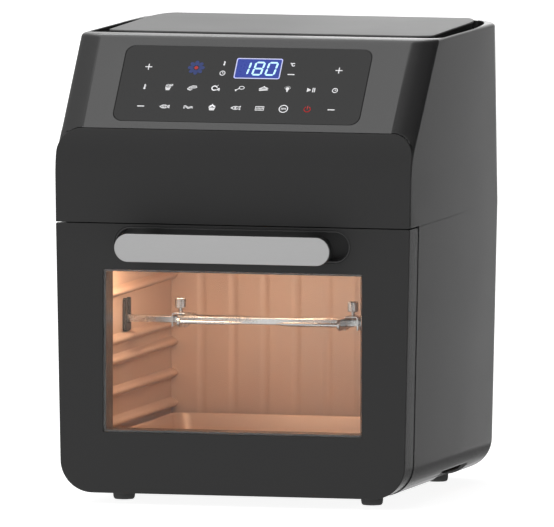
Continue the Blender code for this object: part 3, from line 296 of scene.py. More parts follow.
def cut(target, tools, operation="DIFFERENCE"):
    """Applies exact Booleans with each tool in turn and removes the tools."""
    for tool in tools:
        change = target.modifiers.new(tool.name, "BOOLEAN")
        change.operation = operation
        change.object = tool
    bpy.context.view_layer.update()
    baked(target)
    for tool in tools:
        bpy.data.objects.remove(tool)
    return target


def soften(made, width, segments=2, angle=38.0):
    """Small rounding on every edge sharper than angle, with flat faces kept flat."""
    with editing(made) as build:
        bmesh.ops.remove_doubles(build, verts=build.verts, dist=CLOSE)
        bmesh.ops.dissolve_degenerate(build, edges=build.edges, dist=CLOSE)
        bmesh.ops.triangulate(build, faces=[face for face in build.faces if len(face.verts) > 4])
    made.data.shade_smooth()
    rounding = made.modifiers.new("rounding", "BEVEL")
    rounding.width = width
    rounding.segments = segments
    rounding.limit_method = "ANGLE"
    rounding.angle_limit = math.radians(angle)
    rounding.use_clamp_overlap = False
    rounding.miter_outer = "MITER_ARC"
    return baked(made)


def rounded(corners, steps=STEPS):
    """Outline through (u, v, radius) corners, each with its radius laid in as an arc."""
    points = []
    for index, (u, v, radius) in enumerate(corners):
        corner = Vector((u, v))
        if not radius:
            points.append((u, v))
            continue
        to_last = (Vector(corners[index - 1][:2]) - corner).normalized()
        to_next = (Vector(corners[(index + 1) % len(corners)][:2]) - corner).normalized()
        half = to_last.angle(to_next) / 2
        centre = corner + (to_last + to_next).normalized() * radius / math.sin(half)
        start = corner + to_last * radius / math.tan(half) - centre
        side = 1 if to_next.x * to_last.y - to_next.y * to_last.x > 0 else -1
        for step in range(steps + 1):
            swept = Matrix.Rotation(side * (math.pi - 2 * half) * step / steps, 2) @ start
            points.append(tuple(centre + swept))
    return points


def rectangle(u0, v0, u1, v1, radius=0.0, steps=STEPS):
    corners = [(u0, v0), (u1, v0), (u1, v1), (u0, v1)]
    return rounded([(u, v, radius) for u, v in corners], steps)


def circle(u, v, radius, sides):
    turns = [2 * math.pi * k / sides for k in range(sides)]
    return [(u + radius * math.cos(turn), v + radius * math.sin(turn)) for turn in turns]


def prism(name, outline, axis, start, end):
    """Straight bar of one section: (y, z) points along X, (x, z) along Y or (x, y) along Z."""
    places = {
        "X": lambda u, v, w: (w, u, v),
        "Y": lambda u, v, w: (u, w, v),
        "Z": lambda u, v, w: (u, v, w),
    }
    place = places[axis]
    build = bmesh.new()
    face = build.faces.new([build.verts.new(place(u, v, start)) for u, v in outline])
    grown = bmesh.ops.extrude_face_region(build, geom=[face])["geom"]
    moved = [item for item in grown if isinstance(item, bmesh.types.BMVert)]
    bmesh.ops.translate(build, vec=place(0, 0, end - start), verts=moved)
    return from_bmesh(name, build)


def block(name, low, high):
    outline = rectangle(low[0], low[1], high[0], high[1])
    return prism(name, outline, "Z", low[2], high[2])


def loft(name, sections):
    """Closed skin through outlines that have the same number of points."""
    build = bmesh.new()
    rings = [[build.verts.new(point) for point in section] for section in sections]
    for lower, upper in zip(rings, rings[1:]):
        for index in range(len(lower)):
            after = (index + 1) % len(lower)
            build.faces.new((lower[index], lower[after], upper[after], upper[index]))
    build.faces.new(rings[0])
    build.faces.new(rings[-1])
    return from_bmesh(name, build)


def curve_object(name, curve):
    made = bpy.data.objects.new(name, curve)
    scene.collection.objects.link(made)
    return made


def plate(name, outlines, near, far, edge=0.0004, axis="Y"):
    """Flat plate with holes and rounded edges: the first outline is its border, the rest are holes.

    Outlines are (x, z) for axis Y and (x, y) for axis Z; near and far are its two faces.
    """
    curve = bpy.data.curves.new(name, "CURVE")
    curve.dimensions = "2D"
    curve.fill_mode = "BOTH"
    curve.bevel_depth = edge
    curve.bevel_resolution = 2
    curve.offset = -edge
    curve.extrude = abs(far - near) / 2 - edge
    for outline in outlines:
        spline = curve.splines.new("POLY")
        spline.points.add(len(outline) - 1)
        for slot, (u, v) in zip(spline.points, outline):
            slot.co = (u, v, 0, 1)
        spline.use_cyclic_u = True
    made = curve_object(name, curve)
    middle = (near + far) / 2
    if axis == "Y":
        made.matrix_world = Matrix.Translation((0, middle, 0)) @ Matrix.Rotation(math.pi / 2, 4, "X")
    else:
        made.matrix_world = Matrix.Translation((0, 0, middle))
    bpy.context.view_layer.update()
    made = baked(made)
    made.data.transform(made.matrix_world)
    made.matrix_world = Matrix.Identity(4)
    with editing(made) as build:
        bmesh.ops.remove_doubles(build, verts=build.verts, dist=CLOSE / 4)
        bmesh.ops.recalc_face_normals(build, faces=build.faces)
    return settle(made)


def turned(name, profile, origin, axis, steps=56):
    """Turned solid from (radius, height) points, closed on the axis or round a bore."""
    build = bmesh.new()
    rings = []
    for radius, height in profile:
        if radius <= 0:
            rings.append([build.verts.new((0, 0, height))])
            continue
        rings.append([build.verts.new((x, y, height)) for x, y in circle(0, 0, radius, steps)])
    bored = len(rings[0]) > 1
    pairs = list(zip(rings, rings[1:])) + ([(rings[-1], rings[0])] if bored else [])
    for lower, upper in pairs:
        for index in range(steps):
            after = (index + 1) % steps
            corners = [lower[index % len(lower)], lower[after % len(lower)],
                       upper[after % len(upper)], upper[index % len(upper)]]
            build.faces.new(list(dict.fromkeys(corners)))
    turns = {"X": Matrix.Rotation(math.pi / 2, 4, "Y"), "Y": Matrix.Rotation(-math.pi / 2, 4, "X"),
             "Z": Matrix.Identity(4)}
    bmesh.ops.transform(build, matrix=Matrix.Translation(origin) @ turns[axis], verts=build.verts)
    return from_bmesh(name, build)


def pin(name, radius, low, high, origin, axis, steps):
    """Plain round bar, to cut a hole."""
    return turned(name, [(0, low), (radius, low), (radius, high), (0, high)], origin, axis, steps)


def tube(name, points, radius, sides=16):
    """Round wire through the points, with filled ends."""
    curve = bpy.data.curves.new(name, "CURVE")
    curve.dimensions = "3D"
    curve.bevel_depth = radius
    curve.bevel_resolution = sides // 4
    curve.use_fill_caps = True
    spline = curve.splines.new("POLY")
    spline.points.add(len(points) - 1)
    for slot, point in zip(spline.points, points):
        slot.co = (*point, 1.0)
    made = curve_object(name, curve)
    bpy.context.view_layer.update()
    return baked(made)


def part(made, body, slot, *nodes, look=None):
    """Gives a piece its body and material, and the CAD nodes that it stands for."""
    weighted = made.modifiers.new("weighted", "WEIGHTED_NORMAL")
    weighted.keep_sharp = True
    weighted.weight = NORMAL_WEIGHT
    baked(made)
    made.data.materials.clear()
    made.data.materials.append(look or SLOT_LOOK[slot])
    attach(made, body)
    if nodes:
        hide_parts(*nodes)


# Shape of the body

def half_width(z):
    if z < SEAM:
        return WIDTH / 2 - TAPER_DOWN * (SEAM - z)
    return WIDTH / 2 + SPREAD_UP * (z - SEAM)


def at_height(table, z):
    """Value at a height, between the (height, value) pairs of a table."""
    for (low, first), (high, last) in zip(table, table[1:]):
        if z < high:
            return first + (last - first) * max(0.0, z - low) / (high - low)
    return table[-1][1]


def lean(z):
    """How far the front surface lies behind the front plane at a height."""
    rise = z - BEND_START
    bend_rise = BEND_RADIUS * math.sin(SLANT)
    if rise <= 0:
        return 0.0
    if rise < bend_rise:
        return BEND_RADIUS * (1 - math.cos(math.asin(rise / BEND_RADIUS)))
    return BEND_RADIUS * (1 - math.cos(SLANT)) + (rise - bend_rise) * math.tan(SLANT)


FACE_LOW = BEND_START + BEND_RADIUS * math.sin(SLANT)
FACE_FRAME = Matrix.Translation((0, behind(lean(FACE_LOW)), FACE_LOW)) @ Matrix.Rotation(
    math.radians(90) - SLANT, 4, "X"
)


def arc_loss(reach, radius):
    short = max(0.0, radius - reach)
    return radius - math.sqrt(max(0.0, radius * radius - short * short))


def plan(z, half, front, rear, across, back, rear_across, rear_back=None, sweep=math.pi / 2):
    """Plan outline at one height, its corners rounded by elliptic arcs.

    The rear corners turn a full quarter; the front ones end in a crease when sweep is less.
    """
    rear_back = rear_across if rear_back is None else rear_back
    near, far = [], []
    for step in range(STEPS + 1):
        turn, share = math.pi / 2 * step / STEPS, sweep * step / STEPS
        near.append((half - across * (1 - math.cos(share)) / (1 - math.cos(sweep)),
                     front + back * (1 - math.sin(share) / math.sin(sweep))))
        far.append((half - rear_across * (1 - math.cos(turn)), rear - rear_back * (1 - math.sin(turn))))
    outline = [(-x, y) for x, y in near] + near[::-1] + far + [(-x, y) for x, y in far[::-1]]
    return [(x, y, z) for x, y in outline]


def body_section(z):
    rim_loss = arc_loss(RIM_TOP - z, RIM_RADIUS)
    half = half_width(z) - arc_loss(z - FOOT_HEIGHT, BASE_RADIUS) - rim_loss
    front = behind(lean(z)) + rim_loss
    back, rear_radius = at_height(CORNER_BACK, z), at_height(REAR_RADIUS, z)
    return plan(z, half, front, REAR - rim_loss, CORNER_ACROSS, back, rear_radius, None,
                math.radians(at_height(CORNER_SWEEP, z)))


def arc_heights(start, length, steps):
    turns = [math.pi / 2 * step / steps for step in range(steps + 1)]
    return [start + length * (1 - math.cos(turn)) for turn in turns]


def body_heights():
    heights = arc_heights(FOOT_HEIGHT, BASE_RADIUS, 12) + [0.12, SEAM, BEND_START]
    bends = [SLANT * step / 10 for step in range(1, 11)]
    heights += [BEND_START + BEND_RADIUS * math.sin(bend) for bend in bends]
    rims = [math.pi / 2 * step / 8 for step in range(9)]
    heights += [RIM_TOP - RIM_RADIUS * (1 - math.sin(turn)) for turn in rims]
    return heights


def front_outline(low, high, low_radius, high_radius, inset=0.0):
    low, high = low + inset, high - inset
    low_half, high_half = half_width(low) - inset, half_width(high) - inset
    corners = [(-low_half, low, low_radius), (low_half, low, low_radius)]
    corners += [(high_half, high, high_radius), (-high_half, high, high_radius)]
    return rounded(corners)


def front_curve(low, high, offset):
    points = [(behind(offset), low), (behind(offset), BEND_START)]
    for step in range(1, STEPS + 1):
        bend = SLANT * step / STEPS
        radius = BEND_RADIUS - offset
        y = behind(BEND_RADIUS - radius * math.cos(bend))
        points.append((y, BEND_START + radius * math.sin(bend)))
    y, z = points[-1]
    points.append((y + (high - z) * math.tan(SLANT), high))
    return points


def fascia_band(name, near, far, inset):
    """The layer of the fascia's shape between two depths under the front surface."""
    low, high = SEAM - WALL, FASCIA_TOP + 3 * WALL
    section = front_curve(low, high, near) + front_curve(low, high, far)[::-1]
    made = prism(name, section, "X", -WIDTH, WIDTH)
    outline = front_outline(SEAM + SEAM_GAP / 2, FASCIA_TOP, 0.0, FRONT_RADIUS, inset)
    return cut(made, [prism("mask", outline, "Y", FRONT - WALL, behind(2 * DOOR_THICK))], "INTERSECT")


def trough_section(z, spread):
    front, rear = behind(TROUGH_FRONT) - spread, behind(TROUGH_REAR) + spread
    return plan(z, TROUGH_HALF + spread, front, rear, TROUGH_CORNER, TROUGH_CORNER, TROUGH_ACROSS,
                TROUGH_BACK)


def room_section(z, inset, front):
    back = max(0.002, at_height(CORNER_BACK, z) - inset)
    half, rear_radius = half_width(z) - inset, at_height(REAR_RADIUS, z) - inset
    return plan(z, half, front, REAR - inset, CORNER_ACROSS - inset, back, rear_radius)


def face_prism(name, half, low, high, bottom, top, radius):
    made = prism(name, rectangle(GLASS_U - half, low, GLASS_U + half, high, radius), "Z", bottom, top)
    made.data.transform(FACE_FRAME)
    return made


def stadium(half, tall, z):
    corners = [(-half, z - tall / 2), (half, z - tall / 2), (half, z + tall / 2), (-half, z + tall / 2)]
    return rounded([(u, v, tall * 0.499) for u, v in corners], 20)


# Casing

def housing():
    shell = loft("housing_shell", [body_section(z) for z in body_heights()])
    low = SEAM + SEAM_GAP / 2
    shoulder = front_curve(low, FASCIA_TOP, PANEL + GAP)[:-1]
    shoulder += [(behind(DOOR_THICK), FASCIA_TOP - WALL), (behind(DOOR_THICK), low)]
    filler = prism("shoulder", shoulder, "X", -WIDTH, WIDTH)
    outline = front_outline(low, FASCIA_TOP, 0.0, FRONT_RADIUS, 0.00005)
    cut(filler, [prism("mask", outline, "Y", FRONT, behind(2 * DOOR_THICK))], "INTERSECT")
    cut(shell, [filler], "UNION")
    slab, skin = 0.0066, 0.0038
    levels = [(SEAM + WALL, slab), (BEND_START, slab), (FASCIA_TOP, slab), (FASCIA_TOP + 0.010, skin),
              (ROOM_TOP, skin)]
    upper = loft("upper", [room_section(z, WALL, behind(lean(z)) + near) for z, near in levels])
    lower_skin = WALL + GAP
    floor, radius = FOOT_HEIGHT + lower_skin, BASE_RADIUS - lower_skin
    sections = []
    for z in arc_heights(floor, radius, 6) + [SEAM, SEAM + 3 * WALL]:
        half = half_width(z) - lower_skin - arc_loss(z - floor, radius)
        rear_radius = at_height(REAR_RADIUS, z) - lower_skin
        front = behind(HOUSING_FRONT) + WALL
        sections.append(plan(z, half, front, REAR - lower_skin, WALL, WALL, rear_radius))
    edge = 2 * WALL
    tools = [
        fascia_band("recess", -WALL, PANEL + GAP, -GAP),
        block("door_room", (-WIDTH, FRONT - WALL, UNDER), (WIDTH, behind(HOUSING_FRONT), low)),
        upper,
        loft("lower", sections),
        loft("trough", [trough_section(z, 0.0) for z in (ROOM_TOP - 3 * WALL, COVER_TOP + 0.004)]),
        prism("mouth", rectangle(-MOUTH_HALF, MOUTH_LOW, MOUTH_HALF, MOUTH_HIGH, MOUTH_CORNER), "Y",
              behind(0.030), behind(0.040)),
        block("floor_opening", (-0.1175, behind(0.048), UNDER), (0.1175, behind(0.3165), 0.014)),
        prism("rear_opening", rectangle(-REAR_HALF, REAR_LOW, REAR_HALF, REAR_HIGH, REAR_CORNER), "Y",
              REAR - 2 * WALL, REAR + WALL),
        face_prism("glass_seat", GLASS_HALF + GAP, GLASS_LOW - GAP, GLASS_HIGH + GAP,
                   -GLASS_THICK - GAP, WALL, GLASS_CORNER),
        face_prism("board_window", GLASS_HALF - edge, GLASS_LOW + edge, GLASS_HIGH - edge,
                   -4 * WALL, WALL, 0.004),
    ]
    for side in (-1, 1):
        x, arm, half = side * GRIP_X, side * HINGE_X, ARM_HALF + GAP
        notch = rectangle(behind(GRIP_FRONT), -0.012, behind(GRIP_REAR), GRIP_TOP, 0.004)
        tools.append(prism("grip", notch, "X", x - GRIP_HALF, x + GRIP_HALF))
        tools.append(block("arm", (arm - half, behind(0.030), UNDER),
                           (arm + half, behind(0.049), ARM_TOP)))
    tools.append(block("catch", (-CATCH_X - 0.0053, behind(0.030), CATCH_Z - 0.0083),
                       (-CATCH_X + 0.0053, behind(0.040), CATCH_Z + 0.0083)))
    tools.append(pin("plunger_hole", 0.0026, 0.030, 0.040, (CATCH_X, FRONT, CATCH_Z), "Y", 24))
    cut(shell, tools)
    soften(shell, 0.0008, 2)
    crease(shell)
    part(shell, "root", "black_gloss_plastic", "outer_housing")


def crease(shell):
    """Keeps the line sharp where the slanted face meets its turned-back corners."""
    reach = 0.0004

    def on_line(vertex):
        x, y, z = vertex.co
        across = abs(abs(x) - half_width(z) + CORNER_ACROSS)
        return 0.318 < z < RIM_TOP - RIM_RADIUS and across < reach and abs(y - behind(lean(z))) < reach

    with editing(shell) as build:
        for edge in build.edges:
            if on_line(edge.verts[0]) and on_line(edge.verts[1]):
                edge.smooth = False


def sheared_plate(name, outline, thick, edge):
    """Flat plate whose upper part leans back with the front surface."""
    made = plate(name, [outline], behind(0), behind(thick), edge)
    levels = [BEND_START + (FASCIA_TOP - BEND_START) * step / 24 for step in range(24)]
    with editing(made) as build:
        for z in levels:
            whole = build.verts[:] + build.edges[:] + build.faces[:]
            bmesh.ops.bisect_plane(build, geom=whole, dist=1e-7, plane_co=(0, 0, z), plane_no=(0, 0, 1))
        for vertex in build.verts:
            vertex.co.y += lean(vertex.co.z)
    return settle(made)


def casing():
    housing()
    outline = front_outline(SEAM + SEAM_GAP / 2, FASCIA_TOP, 0.0008, FRONT_RADIUS)
    fascia = sheared_plate("fascia_panel", outline, PANEL - 0.0004, 0.0004)
    part(fascia, "root", "black_satin_plastic", "front_fascia")
    fill = GAP - 0.00003
    half = GLASS_HALF + fill
    outline = rectangle(GLASS_U - half, GLASS_LOW - fill, GLASS_U + half, GLASS_HIGH + fill, GLASS_CORNER)
    glass = plate("touch_glass_pane", [outline], -GLASS_THICK, 0.0, 0.00012, "Z")
    glass.data.transform(FACE_FRAME)
    part(glass, "root", "touch_glass", "touch_glass")
    lid()
    vent_tray()
    rear_pieces()
    profile = [(0.0, 0.0093), (0.0095, 0.0093), (0.0094, 0.0040), (0.0091, 0.0018), (0.0086, 0.0007),
               (0.0078, 0.0), (0.0060, 0.0), (0.0055, 0.0006), (0.0, 0.0006)]
    for x, side in ((-FOOT_X, "left"), (FOOT_X, "right")):
        for depth, end in ((FOOT_FRONT, "front"), (FOOT_REAR, "rear")):
            name = f"{end}_{side}"
            foot = turned("foot_" + name + "_fine", profile, (x, behind(depth), 0), "Z")
            part(foot, "root", "rubber", "foot_" + name)


def vent_tray():
    """Floor of the trough round the lid, with air slots along its sides and its rear."""
    outlines = [[point[:2] for point in trough_section(0, -0.0008)]]
    slot_radius = 0.0015
    for side in (-1, 1):
        for row in range(8):
            x, y = side * 0.1468, behind(0.148 + 0.016 * row)
            outlines.append(rectangle(x - 0.0017, y, x + 0.0017, y + 0.010, slot_radius, 4))
    for row in range(9):
        x = 0.022 * (row - 4)
        outlines.append(rectangle(x - 0.007, behind(0.3135), x + 0.007, behind(0.3205), slot_radius, 4))
    tray = plate("vent_tray", outlines, TRAY_TOP - TRAY_THICK, TRAY_TOP, 0.0003, "Z")
    # painted light: the tray takes the lighter deck look instead of its black matte plastic, to brighten
    # the shaded trough
    part(tray, "root", "black_matte_plastic", "top_vent_tray", look=DECK_PAINTED_LIGHT)


def cover_section(z, inset, tilt=COVER_TILT):
    front, rear = behind(COVER_FRONT) + inset, behind(COVER_REAR) - inset
    outline = plan(z, COVER_HALF - inset, front, rear, FRONT_ACROSS, FRONT_BACK, REAR_ACROSS, REAR_BACK)
    return [(x, y, level + tilt * (y - behind(COVER_REAR))) for x, y, level in outline]


def lid():
    """Thin grey top sheet on a body that stands a little inside its edge; the body is painted black, a
    painted shadow for the gap under the sheet.
    """
    sheet, lip, inset = 0.0013, 0.0006, 0.0012
    edges = [math.pi / 2 * step / 5 for step in range(6)]
    sections = [cover_section(COVER_TOP - sheet, 0.0)]
    sections += [cover_section(COVER_TOP - lip * (1 - math.sin(turn)), lip * (1 - math.cos(turn)))
                 for turn in edges]
    part(settle(loft("lid_sheet", sections)), "root", "grey_cover_plastic", "top_cover")
    body = loft("lid_body_painted_shade", [cover_section(TRAY_TOP + GAP, inset, 0.0),
                             cover_section(COVER_TOP - sheet, inset)])
    within = inset + 0.0025
    cut(body, [loft("hollow", [cover_section(TRAY_TOP - GAP, within, 0.0),
                               cover_section(COVER_TOP - 0.003, within)])])
    # painted shadow: the body, grey cover plastic, takes the black matte look so its side reads as the
    # shaded gap under the sheet
    part(settle(body), "root", "grey_cover_plastic", look=MATTE)


def rear_pieces():
    """Rear cover, the louvred outlet on it and the cord's gland."""
    half = REAR_HALF - GAP
    outlines = [rectangle(-half, REAR_LOW + GAP, half, REAR_HIGH - GAP, REAR_CORNER - GAP),
                rectangle(-0.045, 0.262, 0.045, 0.318, 0.003)]
    for middle in (-0.055, 0.055):
        for z in (0.090, 0.102, 0.114, 0.126, 0.138):
            outlines.append(rectangle(middle - 0.030, z, middle + 0.030, z + 0.004, 0.0019, 6))
    outlines.append(circle(GLAND_X, GLAND_Z, GLAND_HOLE, 48))
    cover = plate("rear_panel", outlines, REAR - 0.0024, REAR, 0.0004)
    part(cover, "root", "black_matte_plastic", "rear_cover")
    outlet = prism("outlet_cover", rectangle(-0.060, 0.250, 0.060, 0.330, 0.012), "Y",
                   REAR + GAP, REAR + 0.010)
    louvres = [rectangle(-0.042, z, 0.042, z + 0.006, 0.0028, 6)
               for z in (0.263, 0.275, 0.287, 0.299, 0.311)]
    cut(outlet, [prism("louvre", louvre, "Y", REAR - 0.01, REAR + 0.03) for louvre in louvres])
    soften(outlet, 0.0012, 3)
    part(outlet, "root", "black_matte_plastic", "exhaust_cover")
    profile = [(0.0035, 0.0072), (0.0040, 0.0076), (0.0056, 0.0076), (0.0060, 0.0070), (0.0066, 0.0040),
               (0.0080, 0.0012), (0.0080, -0.012), (0.0035, -0.012)]
    part(turned("gland_fine", profile, (GLAND_X, REAR, GLAND_Z), "Y"), "root", "rubber", "cord_gland")


# Cooking chamber

def rib_bulge(z, tall, reach):
    """How far the pressed ledges stand in at a height."""
    out = 0.0
    for height in RIB_HEIGHTS:
        off = (z - height) / tall
        if abs(off) < 0.5:
            out = max(out, reach * math.cos(math.pi * off) ** 0.8)
    return out


def ribbed_wall(name, side):
    low, high, count = CAVITY_LOW + GAP, CAVITY_HIGH - GAP, 220
    zs = [low + (high - low) * step / count for step in range(count + 1)]
    inner = [(side * (CAVITY_HALF - rib_bulge(z, RIB_TALL, RIB_REACH)), z) for z in zs]
    outer = [(side * (CAVITY_HALF + SHEET - rib_bulge(z, RIB_TALL - 0.0022, RIB_REACH - 0.0004)), z)
             for z in zs]
    return prism(name, inner + outer[::-1], "Y", behind(CAVITY_FRONT), behind(CAVITY_REAR))


def chamber():
    front, rear = behind(CAVITY_FRONT), behind(CAVITY_REAR)
    left = settle(ribbed_wall("ribbed_wall_left", -1), 50)
    part(left, "root", "chamber_steel", "cavity_left_wall")
    right = ribbed_wall("ribbed_wall_right", 1)
    cut(right, [pin("hole", SOCKET_HOLE, 0.10, 0.14, (0, behind(SPIT_DEPTH), SPIT_Z), "X", 40)])
    part(settle(right, 50), "root", "chamber_steel", "cavity_right_wall")
    outer = CAVITY_HALF + SHEET
    flutes, count = [], 260
    for step in range(count + 1):
        x = -outer + 2 * outer * step / count
        phase = (x / 0.028) % 1.0 - 0.5
        dent = 0.0006 * math.cos(math.pi * phase / 0.30) if abs(phase) < 0.15 and abs(x) < 0.105 else 0.0
        flutes.append((x, rear + GAP + 0.0001 + dent))
    back = [(x, rear + GAP + SHEET) for x, _ in flutes[::-1]]
    wall = prism("fluted_rear_wall", flutes + back, "Z", CAVITY_LOW + GAP, CAVITY_HIGH - GAP)
    part(settle(wall, 60), "root", "chamber_steel", "cavity_rear_wall")
    ceiling = plate("chamber_ceiling", [rectangle(-outer, front, outer, rear + GAP + SHEET, 0.0005, 2),
                                        circle(0, behind(FAN_DEPTH), FAN_HOLE, 96),
                                        circle(LAMP_X, behind(LAMP_DEPTH), LAMP_HOLE, 40),
                                        circle(SENSOR_X, behind(SENSOR_DEPTH), SENSOR_HOLE, 24)],
                    CAVITY_HIGH, CAVITY_HIGH + SHEET, 0.0003, "Z")
    part(ceiling, "root", "chamber_steel", "cavity_ceiling")
    half, low, high = MOUTH_HALF - GAP, MOUTH_LOW + GAP, MOUTH_HIGH - GAP
    mouth = plate("mouth_frame", [rectangle(-half, low, half, high, MOUTH_CORNER - GAP),
                                  rectangle(-CAVITY_HALF, CAVITY_LOW, CAVITY_HALF, CAVITY_HIGH, 0.004)],
                  behind(0.0342), behind(0.0354), 0.0004)
    part(mouth, "root", "chamber_steel", "front_frame")
    half, low, high = SEAL_HALF - SEAL_WIDE, SEAL_LOW + SEAL_WIDE, SEAL_HIGH - SEAL_WIDE
    seal = plate("seal_ring", [rectangle(-SEAL_HALF, SEAL_LOW, SEAL_HALF, SEAL_HIGH, 0.008),
                               rectangle(-half, low, half, high, 0.004)],
                 behind(0.0323), behind(0.0339), 0.0006)
    part(seal, "root", "rubber", "door_seal")
    pan()
    element()
    lens = [(0, 0.2257), (0.0155, 0.2257), (0.0155, 0.2243), (0.0150, 0.2236), (0.0130, 0.2222),
            (0.0120, 0.2208), (0.0100, 0.2201), (0.0060, 0.2197), (0, 0.2195)]
    lens = turned("lens_fine", lens, (LAMP_X, behind(LAMP_DEPTH), 0), "Z")
    part(lens, "root", "clear_glass", "lamp_lens")


def pan():
    """Shallow drip pan with a rolled rim."""
    low, high = CAVITY_LOW + GAP, 0.0555
    side, front, rear, thin = 0.121, behind(0.040), behind(0.268), 0.0011

    def ring(z, inset):
        return plan(z, side - inset, front + inset, rear - inset, 0.014, 0.014, 0.014)

    heights = [(low, 0.0075), (low + 0.0006, 0.0055), (low + 0.0018, 0.0044), (low + 0.004, 0.0038),
               (high - 0.0020, 0.0012), (high - 0.0012, 0.0002), (high - 0.0005, 0.0), (high, 0.0004)]
    inner = [(z + 0.0006, inset + thin) for z, inset in heights[:-2]]
    inner[0] = (low + thin, inner[0][1])
    sections = [ring(z, inset) for z, inset in heights]
    sections += [ring(high, 0.0011)] + [ring(z, inset) for z, inset in inner[::-1]]
    part(settle(loft("pan_fine", sections), 50), "root", "chamber_steel", "drip_tray")


def element():
    radius, height, top, wire_radius = 0.064, 0.217, 0.270, 0.003
    y = behind(FAN_DEPTH)
    open_angle = math.asin(0.012 / radius)
    sweep, steps = 2 * math.pi - 2 * open_angle, 96
    ring = []
    for step in range(steps + 1):
        angle = -math.pi / 2 + open_angle + sweep * step / steps
        ring.append((radius * math.cos(angle), y + radius * math.sin(angle), height))
    first, last = ring[0], ring[-1]
    rise = [(0.0, top - height), (0.0, 0.008), (0.0, 0.004), (0.0, 0.0015)]
    points = [(first[0], first[1], height + up) for _, up in rise] + ring[1:-1]
    points += [(last[0], last[1], height + up) for _, up in rise[::-1]]
    sheath = tube("element_tube", points, wire_radius)
    part(sheath, "root", "bright_steel", "heating_element", look=ELEMENT)


# Door

def door():
    outline = front_outline(FOOT_HEIGHT, SEAM - SEAM_GAP / 2, BOTTOM_RADIUS, 0.0015)
    window = rectangle(-WINDOW_HALF, WINDOW_LOW, WINDOW_HALF, WINDOW_HIGH, 0.0008, 4)
    pocket_hole = stadium(POCKET_HALF, POCKET_TALL, POCKET_Z)
    front = plate("door_panel_plate", [outline, window, pocket_hole], FRONT, behind(PANEL), 0.0004)
    part(front, "door", "black_satin_plastic", "door_front_panel")
    door_frame()
    half = WINDOW_HALF - GAP
    clear = rectangle(-half, WINDOW_LOW + GAP, half, WINDOW_HIGH - GAP, 0.0006, 4)
    pane_front = plate("outer_pane", [clear], behind(0.0002), behind(PANEL), 0.0003)
    part(pane_front, "door", "clear_glass", "door_outer_glass")
    inner = rectangle(-INNER_HALF, INNER_LOW, INNER_HALF, INNER_HIGH, 0.002, 6)
    part(plate("inner_pane", [inner], behind(0.0270), behind(0.0297), 0.0004),
         "door", "clear_glass", "door_inner_glass")
    half, low, high = BACKING_HALF, BACKING_LOW, BACKING_HIGH
    notch_x, notch_low, notch_high = -CATCH_X + 0.0040, CATCH_Z - 0.0075, CATCH_Z + 0.0075
    keep = [(-half, low), (half, low), (half, high), (-half, high),
            (-half, notch_high), (notch_x, notch_high), (notch_x, notch_low), (-half, notch_low)]
    backing = plate("inner_frame_plate", [keep, rectangle(-0.1130, 0.0610, 0.1130, 0.2000, 0.003, 8)],
                    behind(0.0303), behind(0.0317), 0.0003)
    part(backing, "door", "dark_coated_steel", "door_inner_frame")
    handle()


def door_frame():
    groove, chamfer, ledge = 0.0004, 0.003, 0.0018
    outline = front_outline(FOOT_HEIGHT, SEAM - SEAM_GAP / 2, BOTTOM_RADIUS - groove, 0.0015, groove)
    profile = [(behind(PANEL + GAP), 0.0), (behind(DOOR_THICK - chamfer), 0.0),
               (behind(DOOR_THICK - chamfer), FOOT_HEIGHT), (behind(DOOR_THICK), FOOT_HEIGHT + chamfer),
               (behind(DOOR_THICK), SEAM + WALL), (behind(PANEL + GAP), SEAM + WALL)]
    body = prism("door_frame_fine", profile, "X", -WIDTH, WIDTH)
    cut(body, [prism("mask", outline, "Y", FRONT, behind(2 * DOOR_THICK))], "INTERSECT")
    tunnel = rectangle(-WINDOW_HALF + ledge, WINDOW_LOW + ledge, WINDOW_HALF - ledge, WINDOW_HIGH - ledge)
    tools = [
        prism("tunnel", tunnel, "Y", FRONT, behind(2 * DOOR_THICK)),
        block("seat", (-INNER_HALF - GAP, behind(0.0267), INNER_LOW - GAP),
              (INNER_HALF + GAP, behind(0.040), INNER_HIGH + GAP)),
        block("plate_seat", (-BACKING_HALF - GAP, behind(0.0300), BACKING_LOW - GAP),
              (BACKING_HALF + GAP, behind(0.041), BACKING_HIGH + GAP)),
        prism("pocket_seat", stadium(POCKET_HALF + GAP, POCKET_TALL + 2 * GAP, POCKET_Z), "Y",
              behind(0.0), behind(0.0190)),
        block("strike", (-CATCH_X - 0.0033, behind(0.0299), CATCH_Z - 0.0073),
              (-CATCH_X + 0.0038, behind(0.042), CATCH_Z + 0.0073)),
    ]
    for side in (-1, 1):
        middle, x, half = side * 0.1335, side * HINGE_X, 0.009
        hinge = (x, behind(HINGE_DEPTH), HINGE_Z)
        tools.append(block("hollow", (middle - half, behind(0.008), 0.050),
                           (middle + half, behind(0.043), 0.190)))
        tools.append(block("slot", (x - ARM_HALF, behind(0.006), UNDER),
                           (x + ARM_HALF, behind(0.044), ARM_TOP)))
        tools.append(pin("bore", PIN_RADIUS + GAP, -0.012, 0.012, hinge, "X", 24))
    cut(body, tools)
    soften(body, 0.0005, 2)
    part(body, "door", "black_gloss_plastic", "door_frame")


